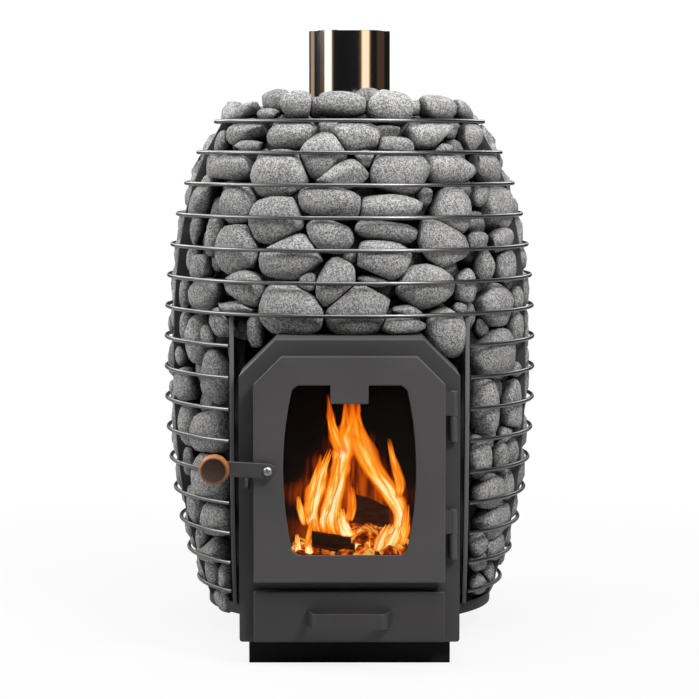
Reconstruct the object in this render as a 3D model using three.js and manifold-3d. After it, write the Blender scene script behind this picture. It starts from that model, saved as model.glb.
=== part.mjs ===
// Wood-burning sauna stove: a firebox in an egg-shaped basket of steel hoops filled with stones.
// Millimetres, +Z up. The origin is on the floor on the axis of the basket and the flue; -Y is the front.
import * as THREE from 'three';
import { mergeVertices } from 'three/addons/utils/BufferGeometryUtils.js';
import Module from 'manifold-3d';

const wasm = await Module();
wasm.setup();

// Clearances
const FIT = 0.3;
const RUNNING_FIT = 0.5;

// Basket: round rod hoops, flat ribs, two posts beside the door and a pan under the stones
const HOOP_COUNT = 16;
const HOOP_ROD = 6;
const TOP_HOOP_Z = 717;
const LOWEST_HOOP_Z = 64.5;
const BELLY_Z = 363;
const BELLY_RADIUS = 263;
const TOP_HOOP_RADIUS = 191;
const LOWEST_HOOP_RADIUS = 218;
const SHOULDER_CURVE = 2.86;
const FOOT_CURVE = 2.2;
const POST_GAP = 12;
const POST_DEPTH = 24;
const POST_THICKNESS = 6;
const FRONT_RIB_AZIMUTH = 73.5;
const REAR_RIB_AZIMUTH = 144.5;
const RIB_DEPTH = 18;
const RIB_THICKNESS = 4;
const PAN_INSET = 15;
const PAN_Z = 30;
const PAN_SHEET = 3;
const PAN_RIM = 15;

// Firebox and its front frame, one chamfered section from front to back
const BODY_WIDTH = 290;
const BODY_BOTTOM = 31;
const BODY_TOP = 430;
const BODY_CHAMFER = 48;
const BODY_CORNER = 4;
const BODY_WALL = 4;
const BODY_BACK_Y = 115;
const NECK_LENGTH = 67;
const FRAME_SHEET = 5;
const HEARTH_CLEARANCE = 16.4;
const HEARTH_SHEET = 6;
const GRATE_SIDE = 50;
const GRATE_END = 82.5;
const GRATE_FLANGE = 10;
const GRATE_DEPTH = 14;
const GRATE_BAR = 11;
const GRATE_SLOT = 12;

// Flue
const FLUE_DIAMETER = 115;
const FLUE_WALL = 2;
const FLUE_RISE = 128;
const COLLAR_WALL = 3;
const COLLAR_HEIGHT = 56;

// Plinth
const PLINTH_SIDE = 12;
const PLINTH_RECESS = 15;
const PLINTH_SHEET = 3;

// Door
const DOOR_MARGIN = 20;
const DOOR_DRAWER_GAP = 13.5;
const DOOR_DEPTH = 21;
const DOOR_SHEET = 4;
const DOOR_LIP = 14;
const DOOR_LIP_SHEET = 3;
const SEAL_WIDTH = 11;
const SEAL_THICKNESS = 6.4;
const DOORWAY_INSET = 26;
const WINDOW_SILL = 36.5;
const WINDOW_HEAD = 37;
const WINDOW_SIDE = 38.5;
const WINDOW_BARREL = 13;
const WINDOW_CORNER = 6;
const TAB_WIDTH = 49.6;
const TAB_DROP = 24;
const GLASS_MARGIN = 12;
const GLASS_THICKNESS = 4;
const GASKET_THICKNESS = 1.8;
const GASKET_WIDTH = 9;
const CLIP_SHEET = 2;
const CLIP_FOOT = 10;
const CLIP_LENGTH = 150;

// Hinges: weld-on barrels at the right of the door
const HINGE_GAP = 10.7;
const HINGE_DIAMETER = 11;
const HINGE_PIN = 6;
const HINGE_BARREL = 33;
const HINGE_BELOW_TOP = 79;
const HINGE_ABOVE_BOTTOM = 61;
const HINGE_PIN_LENGTH = 24;
const HINGE_LEAF = 4;

// Latch
const PIVOT_FROM_EDGE = 19.3;
const LEVER_LENGTH = 69;
const LEVER_HEIGHT = 19.6;
const LEVER_SHEET = 5;
const LEVER_TILT = 3.5;
const BUSH_LENGTH = 4;
const BUSH_DIAMETER = 14;
const SCREW_DIAMETER = 6;
const SCREW_HEAD = 12.7;
const SCREW_HEAD_HEIGHT = 5;
const KNOB_DIAMETER = 40;
const KNOB_FACE = 28;
const KNOB_LENGTH = 28;
const KNOB_TENON = 8;
const KEEPER_GAP = 8.6;
const KEEPER_SHEET = 4;
const KEEPER_TOOTH = 5;
const KEEPER_HOOK = 3;
const KEEPER_FOOT = 16;
const KEEPER_HEIGHT = 20;

// Ash drawer
const DRAWER_SIDE = 19;
const DRAWER_LIFT = 2;
const DRAWER_HEIGHT = 68;
const DRAWER_DEPTH = 15;
const DRAWER_SHEET = 3;
const DRAWER_EDGE = 2.5;
const TRAY_INSET = 15;
const TRAY_HEIGHT = 44;
const TRAY_BACK_GAP = 63;
const TRAY_SHEET = 2;
const RUNNER_WIDTH = 14;
const RUNNER_HEIGHT = 8;
const RUNNER_INSET = 12;
const HANDLE_FRONT = 96;
const HANDLE_FEET = 112;
const HANDLE_HEIGHT = 20;
const HANDLE_REACH = 30;
const HANDLE_SHEET = 3;
const HANDLE_DROP = 1;

// Stones
const STONE_WIDTH = 128;
const STONE_HEIGHT = 74;
const STONE_DEPTH = 68;
const STONE_BURY = 32;
const STONE_CLEAR = 1.5;
const STONE_SPLIT = 0.2;
const POST_STONES_Y = -90;
// Rings of stones heaped between the flue (0) and the top hoop (1), and how far they rise above that hoop
const CROWN_RINGS = [
  { out: 0.54, rise: -9, width: 92, height: 62, each: 2 },
  { out: 0.23, rise: 11, width: 80, height: 56, each: 1 },
];

// Facets
const HOOP_STEPS = 36;
const HOOP_SIDES = 5;
const ROUND_STEPS = 28;
const SMALL_ROUND_STEPS = 12;
const CURVE_STEPS = 5;

// Derived heights and planes
const CHAMFER_SHRINK = 2 - Math.SQRT2;
const hoopPitch = (TOP_HOOP_Z - LOWEST_HOOP_Z) / (HOOP_COUNT - 1);
const postX = BODY_WIDTH / 2 + POST_GAP + POST_THICKNESS / 2;
const panRadius = LOWEST_HOOP_RADIUS - PAN_INSET;
const panFloor = PAN_Z + PAN_SHEET;
const panRimTop = PAN_Z + PAN_RIM;
const flueTop = TOP_HOOP_Z + FLUE_RISE;
const frameFrontY = -BELLY_RADIUS - NECK_LENGTH;
const frameBackY = frameFrontY + FRAME_SHEET;
const shellFrontY = frameBackY + FIT;
const doorBackY = frameFrontY - SEAL_THICKNESS - 2 * FIT;
const doorFrontY = doorBackY - DOOR_DEPTH;
const hingeY = frameFrontY - HINGE_DIAMETER / 2 - FIT;
const leverBackY = doorFrontY - 2 * FIT - BUSH_LENGTH;
const leverFrontY = leverBackY - LEVER_SHEET;
const drawerBackY = frameFrontY - FIT;
const drawerFrontY = drawerBackY - DRAWER_DEPTH;

// Derived widths and heights of the front
const drawerWidth = BODY_WIDTH - 2 * DRAWER_SIDE;
const drawerBottom = BODY_BOTTOM + DRAWER_LIFT;
const drawerTop = drawerBottom + DRAWER_HEIGHT;
const trayWidth = drawerWidth - 2 * TRAY_INSET;
const trayBottom = BODY_BOTTOM + BODY_WALL + RUNNER_HEIGHT + 2 * FIT;
const trayTop = trayBottom + TRAY_HEIGHT;
const runnerX = trayWidth / 2 - RUNNER_INSET - RUNNER_WIDTH / 2;
const handleZ = (drawerBottom + drawerTop) / 2 - HANDLE_DROP;
const hearthZ = trayTop + HEARTH_CLEARANCE;
const doorWidth = BODY_WIDTH - 2 * DOOR_MARGIN;
const doorBottom = drawerTop + DOOR_DRAWER_GAP;
const doorTop = BODY_TOP - DOOR_MARGIN;
const doorChamfer = BODY_CHAMFER - DOOR_MARGIN * CHAMFER_SHRINK;
const windowBottom = doorBottom + WINDOW_SILL;
const windowTop = doorTop - WINDOW_HEAD;
const windowWidth = doorWidth - 2 * WINDOW_SIDE;
const windowEndWidth = windowWidth - 2 * WINDOW_BARREL;
const hingeX = doorWidth / 2 + HINGE_GAP;
const hingeJointZ = [doorTop - HINGE_BELOW_TOP, doorBottom + HINGE_ABOVE_BOTTOM];
const pivotX = PIVOT_FROM_EDGE - doorWidth / 2;
const pivotZ = (doorBottom + doorTop) / 2;
const keeperX = -doorWidth / 2 - KEEPER_GAP;

// Materials
function finish(color, roughness, metalness) {
  return new THREE.MeshStandardMaterial({ color, roughness, metalness });
}

const rodSteel = finish(0x85868a, 0.38, 0.9);
const ribSteel = finish(0x3c3d40, 0.5, 0.8);
const bodySteel = finish(0x474748, 0.5, 0.75);
const doorSteel = finish(0x4b4949, 0.48, 0.75);
const polishedSteel = finish(0x8d8578, 0.15, 1.0);
const blackSteel = finish(0x0f0e0f, 0.6, 0.4);
const castIron = finish(0x2a2927, 0.8, 0.5);
const brightSteel = finish(0xb9bbbd, 0.25, 1.0);
const ropeGrey = finish(0x4a4844, 0.95, 0.0);
const clearGlass = finish(0x1a1712, 0.05, 0.0);
const knobWood = finish(0xc87841, 0.55, 0.0);
const greyStone = finish(0x787878, 0.85, 0.0);

const stove = new THREE.Group();
stove.name = 'sauna_stove';

// Solids from geometries and back

function closedGeometry(geometry) {
  const bare = geometry.index ? geometry.clone() : mergeVertices(geometry);
  bare.deleteAttribute('normal');
  bare.deleteAttribute('uv');
  const merged = mergeVertices(bare, 1e-4);
  const triangles = [];
  const corners = merged.index.array;
  for (let i = 0; i < corners.length; i += 3) {
    const [a, b, c] = [corners[i], corners[i + 1], corners[i + 2]];
    if (a !== b && b !== c && c !== a) triangles.push(a, b, c);
  }
  if (signedVolume(merged, triangles) < 0) triangles.reverse();
  merged.setIndex(triangles);
  return merged;
}

function signedVolume(geometry, triangles) {
  const [a, b, c] = [new THREE.Vector3(), new THREE.Vector3(), new THREE.Vector3()];
  const place = geometry.getAttribute('position');
  let sum = 0;
  for (let i = 0; i < triangles.length; i += 3) {
    a.fromBufferAttribute(place, triangles[i]);
    b.fromBufferAttribute(place, triangles[i + 1]);
    c.fromBufferAttribute(place, triangles[i + 2]);
    sum += a.dot(b.cross(c));
  }
  return sum;
}

function solid(geometry) {
  const closed = closedGeometry(geometry);
  return new wasm.Manifold(new wasm.Mesh({
    numProp: 3,
    vertProperties: new Float32Array(closed.getAttribute('position').array),
    triVerts: new Uint32Array(closed.index.array),
  }));
}

function geometryOf(body) {
  const mesh = body.getMesh();
  const geometry = new THREE.BufferGeometry();
  geometry.setAttribute('position', new THREE.BufferAttribute(new Float32Array(mesh.vertProperties), 3));
  geometry.setIndex(new THREE.BufferAttribute(new Uint32Array(mesh.triVerts), 1));
  return geometry;
}

function addPart(name, shape, material) {
  const geometry = shape.isBufferGeometry ? closedGeometry(shape) : geometryOf(shape);
  geometry.computeVertexNormals();
  const mesh = new THREE.Mesh(geometry, material);
  mesh.name = name;
  stove.add(mesh);
}

// Basic forms placed in the stove's frame

const radians = THREE.MathUtils.degToRad;

function block(x0, x1, y0, y1, z0, z1) {
  const geometry = new THREE.BoxGeometry(x1 - x0, y1 - y0, z1 - z0);
  return geometry.translate((x0 + x1) / 2, (y0 + y1) / 2, (z0 + z1) / 2);
}

// A shape drawn in X and Z, pushed through from y0 to y1
function prismAlongY(shape, y0, y1, curveSegments = CURVE_STEPS) {
  const geometry = new THREE.ExtrudeGeometry(shape, { depth: y1 - y0, bevelEnabled: false, curveSegments });
  return geometry.rotateX(Math.PI / 2).translate(0, y1, 0);
}

// A shape drawn in X and Y, pushed up from z0 to z1
function prismAlongZ(shape, z0, z1, curveSegments = CURVE_STEPS) {
  const geometry = new THREE.ExtrudeGeometry(shape, { depth: z1 - z0, bevelEnabled: false, curveSegments });
  return geometry.translate(0, 0, z0);
}

function rodAlongZ(radius, x, y, z0, z1, sides = SMALL_ROUND_STEPS) {
  const geometry = new THREE.CylinderGeometry(radius, radius, z1 - z0, sides);
  return geometry.rotateX(Math.PI / 2).translate(x, y, (z0 + z1) / 2);
}

function rodAlongY(radius, x, z, y0, y1, sides = SMALL_ROUND_STEPS) {
  const geometry = new THREE.CylinderGeometry(radius, radius, y1 - y0, sides);
  return geometry.translate(x, (y0 + y1) / 2, z);
}

// A profile of [radius, height] pairs turned about Z
function turned(profile, steps = ROUND_STEPS) {
  const points = profile.map(([radius, height]) => new THREE.Vector2(radius, height));
  return new THREE.LatheGeometry(points, steps).rotateX(Math.PI / 2);
}

function pipe(outer, inner, z0, z1, steps = ROUND_STEPS) {
  return turned([[inner, z0], [outer, z0], [outer, z1], [inner, z1], [inner, z0]], steps);
}

// Azimuth runs from the front towards +X
function atAzimuth(geometry, azimuth) {
  return geometry.rotateZ(radians(azimuth - 90));
}

// Egg-shaped profile through the top, belly and lowest hoops

function reachFor(endRadius, span, curve) {
  const share = 1 - (endRadius / BELLY_RADIUS) ** 2;
  return span / share ** (1 / curve);
}

const shoulderReach = reachFor(TOP_HOOP_RADIUS, TOP_HOOP_Z - BELLY_Z, SHOULDER_CURVE);
const footReach = reachFor(LOWEST_HOOP_RADIUS, BELLY_Z - LOWEST_HOOP_Z, FOOT_CURVE);

function basketRadius(z) {
  const above = z > BELLY_Z;
  const share = Math.abs(z - BELLY_Z) / (above ? shoulderReach : footReach);
  return BELLY_RADIUS * Math.sqrt(1 - share ** (above ? SHOULDER_CURVE : FOOT_CURVE));
}

// Hoops: whole rings above the firebox, open rings between the posts below its top

// The rod's section in steps outwards and upwards, one corner towards the basket's axis
const rodCorners = Array.from({ length: HOOP_SIDES }, (_, side) => {
  const turn = Math.PI + (side * 2 * Math.PI) / HOOP_SIDES;
  return [(Math.cos(turn) * HOOP_ROD) / 2, (Math.sin(turn) * HOOP_ROD) / 2];
});

// An open hoop is a ring with the stretch between the posts cut out of it
function hoop(z) {
  const radius = basketRadius(z);
  const ring = turned([...rodCorners, rodCorners[0]].map(([out, up]) => [radius + out, z + up]), HOOP_STEPS);
  if (z > BODY_TOP) return ring;
  const postSide = postX + POST_THICKNESS / 2 + FIT;
  const stretch = block(-postSide, postSide, -2 * BELLY_RADIUS, 0, z - HOOP_ROD, z + HOOP_ROD);
  return solid(ring).subtract(solid(stretch));
}

// The clear radius inside the hoops, square to the basket's slope, less what their straight facets take
function insideHoops(z) {
  const slope = (basketRadius(z + 1) - basketRadius(z - 1)) / 2;
  const reach = (HOOP_ROD / 2) * Math.hypot(1, slope);
  return (basketRadius(z) - reach) * Math.cos(Math.PI / HOOP_STEPS) - FIT;
}

const hoopHeights = Array.from({ length: HOOP_COUNT }, (_, index) => TOP_HOOP_Z - index * hoopPitch);
hoopHeights.forEach((z, index) => {
  addPart(`hoop_${String(index + 1).padStart(2, '0')}`, hoop(z), rodSteel);
});

// Ribs stand inside the hoops on the pan; posts close the hoops' ends beside the firebox

const panInnerRadius = panRadius - PAN_SHEET;
const panSeatRadius = panInnerRadius * Math.cos(Math.PI / ROUND_STEPS) - FIT;

// A flat bar on edge that bends at each hoop: edge(radius) is where its outer side lies at that radius
function bentBar(edge, radiusAt, depth, zTop) {
  const zFoot = panFloor + FIT;
  const zRim = panRimTop + FIT;
  const footEdge = edge(panSeatRadius);
  const bends = hoopHeights.filter((z) => z > zRim && z < zTop).reverse();
  const heights = [zRim, ...bends, zTop];
  const outline = new THREE.Shape();
  outline.moveTo(footEdge - depth, zFoot);
  outline.lineTo(footEdge, zFoot);
  outline.lineTo(footEdge, zRim);
  heights.forEach((z) => outline.lineTo(edge(radiusAt(z)), z));
  heights.reverse().forEach((z) => outline.lineTo(edge(radiusAt(z)) - depth, z));
  outline.closePath();
  return outline;
}

const lowestWholeHoop = hoopHeights.filter((z) => z > BODY_TOP).at(-1);
const postTop = lowestWholeHoop - HOOP_ROD / 2 - FIT;

function rib(azimuth) {
  const outline = bentBar((radius) => radius, insideHoops, RIB_DEPTH, TOP_HOOP_Z);
  return atAzimuth(prismAlongY(outline, -RIB_THICKNESS / 2, RIB_THICKNESS / 2), azimuth);
}

// A post stands in an upright plane beside the firebox: how far forward a basket radius lies in that plane
function postReach(radius) {
  return Math.sqrt(radius ** 2 - (postX + POST_THICKNESS / 2) ** 2);
}

function post(x) {
  const outline = bentBar(postReach, basketRadius, POST_DEPTH, postTop);
  const bar = prismAlongY(outline, -POST_THICKNESS / 2, POST_THICKNESS / 2);
  return bar.rotateZ(-Math.PI / 2).translate(x, 0, 0);
}

const ribAzimuths = {
  rib_front_left: -FRONT_RIB_AZIMUTH,
  rib_front_right: FRONT_RIB_AZIMUTH,
  rib_rear_left: -REAR_RIB_AZIMUTH,
  rib_rear_right: REAR_RIB_AZIMUTH,
};
for (const [name, azimuth] of Object.entries(ribAzimuths)) addPart(name, rib(azimuth), ribSteel);
addPart('post_left', post(-postX), ribSteel);
addPart('post_right', post(postX), ribSteel);

// Chamfered house outlines of the firebox, the frame and the door

function houseOutline({ width, bottom, top, chamfer, corner = 0 }, inset = 0) {
  const half = width / 2 - inset;
  const low = bottom + inset;
  const high = top - inset;
  const slope = chamfer - inset * CHAMFER_SHRINK;
  const outline = new THREE.Shape();
  outline.moveTo(-half, high - slope);
  if (corner > 0) {
    outline.lineTo(-half, low + corner);
    outline.absarc(-half + corner, low + corner, corner, Math.PI, 1.5 * Math.PI);
    outline.lineTo(half - corner, low);
    outline.absarc(half - corner, low + corner, corner, -Math.PI / 2, 0);
  } else {
    outline.lineTo(-half, low);
    outline.lineTo(half, low);
  }
  outline.lineTo(half, high - slope);
  outline.lineTo(half - slope, high);
  outline.lineTo(-half + slope, high);
  outline.closePath();
  return outline;
}

const bodyHouse = { width: BODY_WIDTH, bottom: BODY_BOTTOM, top: BODY_TOP, chamfer: BODY_CHAMFER };
const roundedBodyHouse = { ...bodyHouse, corner: BODY_CORNER };
const doorHouse = { width: doorWidth, bottom: doorBottom, top: doorTop, chamfer: doorChamfer };
const CORNER_STEPS = 2;

// Round pan under the stones, open in front for the firebox

function basePan() {
  const dish = turned([
    [0, PAN_Z], [panRadius, PAN_Z], [panRadius, panRimTop], [panInnerRadius, panRimTop],
    [panInnerRadius, panFloor], [0, panFloor],
  ]);
  const half = BODY_WIDTH / 2 + FIT;
  const notch = block(-half, half, -2 * panRadius, BODY_BACK_Y + FIT, PAN_Z - 1, panRimTop + 1);
  return solid(dish).subtract(solid(notch));
}

addPart('base_pan', basePan(), ribSteel);

// Firebox: folded shell, back plate, hearth with its grate, and the front frame

const fluePipeInner = FLUE_DIAMETER / 2 - FLUE_WALL;
const collarOuter = fluePipeInner - FIT;
const collarInner = collarOuter - COLLAR_WALL;
const roofUnderside = BODY_TOP - BODY_WALL;

function fireboxShell() {
  const outside = prismAlongY(houseOutline(roundedBodyHouse), shellFrontY, BODY_BACK_Y, CORNER_STEPS);
  const inside = prismAlongY(houseOutline(bodyHouse, BODY_WALL), shellFrontY - 1, BODY_BACK_Y + 1);
  const flueHole = rodAlongZ(collarOuter + FIT, 0, 0, roofUnderside - 1, BODY_TOP + 1, ROUND_STEPS);
  return solid(outside).subtract(solid(inside)).subtract(solid(flueHole));
}

addPart('firebox_shell', fireboxShell(), bodySteel);

const liningInset = BODY_WALL + FIT;
const backPlateY = BODY_BACK_Y - BODY_WALL;
const backPlate = prismAlongY(houseOutline(bodyHouse, liningInset), backPlateY, BODY_BACK_Y);
addPart('firebox_back', backPlate, bodySteel);

const hearthHalf = BODY_WIDTH / 2 - liningInset;
const hearthFrontY = shellFrontY + FIT;
const hearthBackY = backPlateY - FIT;
const hearthTop = hearthZ + HEARTH_SHEET;
const grateMiddleY = (hearthFrontY + hearthBackY) / 2;
const grateWidth = BODY_WIDTH - 2 * GRATE_SIDE;
const grateLength = hearthBackY - hearthFrontY - 2 * GRATE_END;

function hearthPlate() {
  const plate = block(-hearthHalf, hearthHalf, hearthFrontY, hearthBackY, hearthZ, hearthTop);
  const [halfWidth, halfLength] = [grateWidth / 2 - GRATE_FLANGE, grateLength / 2 - GRATE_FLANGE];
  const mouth = block(-halfWidth, halfWidth, grateMiddleY - halfLength, grateMiddleY + halfLength,
    hearthZ - 1, hearthTop + 1);
  return solid(plate).subtract(solid(mouth));
}

addPart('hearth_plate', hearthPlate(), castIron);

function fireGrate() {
  const bottom = hearthTop + FIT;
  const [halfWidth, halfLength] = [grateWidth / 2, grateLength / 2];
  const inset = GRATE_FLANGE + RUNNING_FIT;
  const flange = block(-halfWidth, halfWidth, grateMiddleY - halfLength, grateMiddleY + halfLength,
    bottom, bottom + GRATE_DEPTH / 2);
  const web = block(-halfWidth + inset, halfWidth - inset, grateMiddleY - halfLength + inset,
    grateMiddleY + halfLength - inset, bottom - GRATE_DEPTH / 2, bottom + 1);
  let grate = solid(flange).add(solid(web));
  const pitch = GRATE_BAR + GRATE_SLOT;
  const slotHalfLength = halfLength - inset - GRATE_BAR;
  const slots = Math.floor((grateWidth - 2 * inset - GRATE_BAR) / pitch);
  for (let index = 0; index < slots; index += 1) {
    const x = (index - (slots - 1) / 2) * pitch;
    const slot = block(x - GRATE_SLOT / 2, x + GRATE_SLOT / 2, grateMiddleY - slotHalfLength,
      grateMiddleY + slotHalfLength, bottom - GRATE_DEPTH, bottom + GRATE_DEPTH);
    grate = grate.subtract(solid(slot));
  }
  return grate;
}

addPart('fire_grate', fireGrate(), castIron);

const TRAY_CLEARANCE = 2;

function frontFrame() {
  const plate = solid(prismAlongY(houseOutline(roundedBodyHouse), frameFrontY, frameBackY, CORNER_STEPS));
  const doorway = prismAlongY(houseOutline(doorHouse, DOORWAY_INSET), frameFrontY - 1, frameBackY + 1);
  const half = trayWidth / 2 + TRAY_CLEARANCE;
  const drawerMouth = block(-half, half, frameFrontY - 1, frameBackY + 1, trayBottom - FIT,
    trayTop + TRAY_CLEARANCE);
  return plate.subtract(solid(doorway)).subtract(solid(drawerMouth));
}

addPart('front_frame', frontFrame(), bodySteel);

// Plinth: a shallow steel tray turned up under the firebox

function plinth() {
  const half = BODY_WIDTH / 2 - PLINTH_SIDE;
  const [frontY, backY] = [frameFrontY + PLINTH_RECESS, BODY_BACK_Y - PLINTH_RECESS];
  const top = BODY_BOTTOM - FIT;
  const outer = block(-half, half, frontY, backY, 0, top);
  const inner = block(-half + PLINTH_SHEET, half - PLINTH_SHEET, frontY + PLINTH_SHEET, backY - PLINTH_SHEET,
    PLINTH_SHEET, top + 1);
  return solid(outer).subtract(solid(inner));
}

addPart('plinth', plinth(), blackSteel);

// Flue: a collar through the firebox roof and the pipe that slips over it

const collarTop = roofUnderside + COLLAR_HEIGHT;
addPart('flue_collar', pipe(collarOuter, collarInner, roofUnderside, collarTop), bodySteel);
addPart('flue_pipe', pipe(FLUE_DIAMETER / 2, fluePipeInner, BODY_TOP + FIT, flueTop), polishedSteel);

// Door: a folded pan with a return lip, a barrel-shaped window and a square tab at its top

function windowOutline() {
  const halfHeight = (windowTop - windowBottom) / 2;
  const middle = (windowTop + windowBottom) / 2;
  const bulge = (windowWidth - windowEndWidth) / 2;
  const sideRadius = (halfHeight ** 2 + bulge ** 2) / (2 * bulge);
  const sideCentre = windowWidth / 2 - sideRadius;
  const swing = Math.asin((halfHeight - WINDOW_CORNER) / sideRadius);
  const half = windowEndWidth / 2;
  const outline = new THREE.Shape();
  outline.moveTo(-half + WINDOW_CORNER, windowBottom);
  outline.lineTo(half - WINDOW_CORNER, windowBottom);
  outline.absarc(sideCentre, middle, sideRadius, -swing, swing);
  outline.lineTo(half - WINDOW_CORNER, windowTop);
  outline.lineTo(TAB_WIDTH / 2, windowTop);
  outline.lineTo(TAB_WIDTH / 2, windowTop - TAB_DROP);
  outline.lineTo(-TAB_WIDTH / 2, windowTop - TAB_DROP);
  outline.lineTo(-TAB_WIDTH / 2, windowTop);
  outline.lineTo(-half + WINDOW_CORNER, windowTop);
  outline.absarc(-sideCentre, middle, sideRadius, Math.PI - swing, Math.PI + swing);
  outline.closePath();
  return outline;
}

function doorPanel() {
  const sheetBackY = doorFrontY + DOOR_SHEET;
  const lipFrontY = doorBackY - DOOR_LIP_SHEET;
  const pan = solid(prismAlongY(houseOutline(doorHouse), doorFrontY, doorBackY));
  const cavity = prismAlongY(houseOutline(doorHouse, DOOR_SHEET), sheetBackY, lipFrontY);
  const lipMouth = prismAlongY(houseOutline(doorHouse, DOOR_SHEET + DOOR_LIP), lipFrontY - 1, doorBackY + 1);
  const window = prismAlongY(windowOutline(), doorFrontY - 1, sheetBackY + 1);
  const pivotHole = rodAlongY(SCREW_DIAMETER / 2 + FIT, pivotX, pivotZ, doorFrontY - 1, sheetBackY + 1);
  return [cavity, lipMouth, window, pivotHole].reduce((body, cut) => body.subtract(solid(cut)), pan);
}

addPart('door_panel', doorPanel(), doorSteel);

function sealRing() {
  const [frontY, backY] = [doorBackY + FIT, frameFrontY - FIT];
  const outside = prismAlongY(houseOutline(doorHouse, DOOR_SHEET), frontY, backY);
  const inside = prismAlongY(houseOutline(doorHouse, DOOR_SHEET + SEAL_WIDTH), frontY - 1, backY + 1);
  return solid(outside).subtract(solid(inside));
}

addPart('door_seal', sealRing(), ropeGrey);

// Window: gasket, glass and the two clips that hold them against the door's front sheet

const glassHalf = windowWidth / 2 + GLASS_MARGIN;
const glassBottom = windowBottom - GLASS_MARGIN;
const glassTop = windowTop + GLASS_MARGIN;
const gasketFrontY = doorFrontY + DOOR_SHEET + FIT;
const glassFrontY = gasketFrontY + GASKET_THICKNESS + FIT;
const glassBackY = glassFrontY + GLASS_THICKNESS;

function rectangle(x0, x1, z0, z1) {
  const outline = new THREE.Shape();
  outline.moveTo(x0, z0);
  outline.lineTo(x1, z0);
  outline.lineTo(x1, z1);
  outline.lineTo(x0, z1);
  outline.closePath();
  return outline;
}

function glassGasket() {
  const ring = rectangle(-glassHalf, glassHalf, glassBottom, glassTop);
  const inner = glassHalf - GASKET_WIDTH;
  ring.holes.push(rectangle(-inner, inner, glassBottom + GASKET_WIDTH, glassTop - GASKET_WIDTH));
  return prismAlongY(ring, gasketFrontY, gasketFrontY + GASKET_THICKNESS);
}

addPart('glass_gasket', glassGasket(), ropeGrey);
const pane = block(-glassHalf, glassHalf, glassFrontY, glassBackY, glassBottom, glassTop);
addPart('door_glass', pane, clearGlass);

// One clip in plan: a foot on the glass, a step down beside its edge and a flange on the door sheet
function glassClip(side) {
  const edge = glassHalf + FIT;
  const footY = glassBackY + FIT;
  const plan = new THREE.Shape();
  plan.moveTo(side * (edge - CLIP_FOOT), footY);
  plan.lineTo(side * edge, footY);
  plan.lineTo(side * edge, gasketFrontY);
  plan.lineTo(side * (edge + CLIP_FOOT), gasketFrontY);
  plan.lineTo(side * (edge + CLIP_FOOT), gasketFrontY + CLIP_SHEET);
  plan.lineTo(side * (edge + CLIP_SHEET), gasketFrontY + CLIP_SHEET);
  plan.lineTo(side * (edge + CLIP_SHEET), footY + CLIP_SHEET);
  plan.lineTo(side * (edge - CLIP_FOOT), footY + CLIP_SHEET);
  plan.closePath();
  const middle = (windowTop + windowBottom) / 2;
  return prismAlongZ(plan, middle - CLIP_LENGTH / 2, middle + CLIP_LENGTH / 2);
}

addPart('glass_clip_left', glassClip(-1), brightSteel);
addPart('glass_clip_right', glassClip(1), brightSteel);

// Hinges: the lower barrel with its pin is welded to the frame, the upper one to the door's side

function frameBarrel(jointZ) {
  const top = jointZ - FIT / 2;
  const radius = HINGE_DIAMETER / 2;
  const bottom = top - HINGE_BARREL;
  const barrel = rodAlongZ(radius, hingeX, hingeY, bottom, top);
  const pin = rodAlongZ(HINGE_PIN / 2, hingeX, hingeY, top - HINGE_BARREL / 2, top + HINGE_PIN_LENGTH);
  const leaf = block(hingeX - radius, hingeX + radius, hingeY, frameFrontY - FIT, bottom, top);
  return solid(barrel).add(solid(leaf)).add(solid(pin));
}

function doorBarrel(jointZ) {
  const bottom = jointZ + FIT / 2;
  const barrel = rodAlongZ(HINGE_DIAMETER / 2, hingeX, hingeY, bottom, bottom + HINGE_BARREL);
  const leaf = block(doorWidth / 2 + FIT, hingeX, doorBackY - HINGE_LEAF, doorBackY, bottom,
    bottom + HINGE_BARREL);
  const bore = rodAlongZ(HINGE_PIN / 2 + FIT, hingeX, hingeY, bottom - 1, bottom + HINGE_PIN_LENGTH + 1);
  return solid(barrel).add(solid(leaf)).subtract(solid(bore));
}

['upper', 'lower'].forEach((place, index) => {
  addPart(`hinge_${place}_frame_half`, frameBarrel(hingeJointZ[index]), bodySteel);
  addPart(`hinge_${place}_door_half`, doorBarrel(hingeJointZ[index]), doorSteel);
});

// Latch: a lever on a pivot screw, a turned wooden knob at its end and a keeper hook on the frame

const leverEndX = -LEVER_LENGTH;
const tilt = radians(LEVER_TILT);
const knobX = pivotX - LEVER_LENGTH * Math.cos(tilt);
const knobZ = pivotZ + LEVER_LENGTH * Math.sin(tilt);

function latchLever() {
  const half = LEVER_HEIGHT / 2;
  const outline = new THREE.Shape();
  outline.absarc(0, 0, half, -Math.PI / 2, Math.PI / 2);
  outline.absarc(leverEndX, 0, half, Math.PI / 2, 1.5 * Math.PI);
  outline.closePath();
  for (const [x, diameter] of [[0, SCREW_DIAMETER], [leverEndX, KNOB_TENON]]) {
    const hole = new THREE.Path();
    hole.absarc(x, 0, diameter / 2 + FIT, 0, 2 * Math.PI, true);
    outline.holes.push(hole);
  }
  return prismAlongY(outline, leverFrontY, leverBackY).rotateY(tilt).translate(pivotX, 0, pivotZ);
}

addPart('latch_lever', latchLever(), doorSteel);

// Turned about the latch's own axes, then laid to point at the front
function turnedAlongFront(profile, x, y, z, steps) {
  const points = profile.map(([radius, ahead]) => new THREE.Vector2(radius, -ahead));
  return new THREE.LatheGeometry(points, steps).translate(x, y, z);
}

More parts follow.
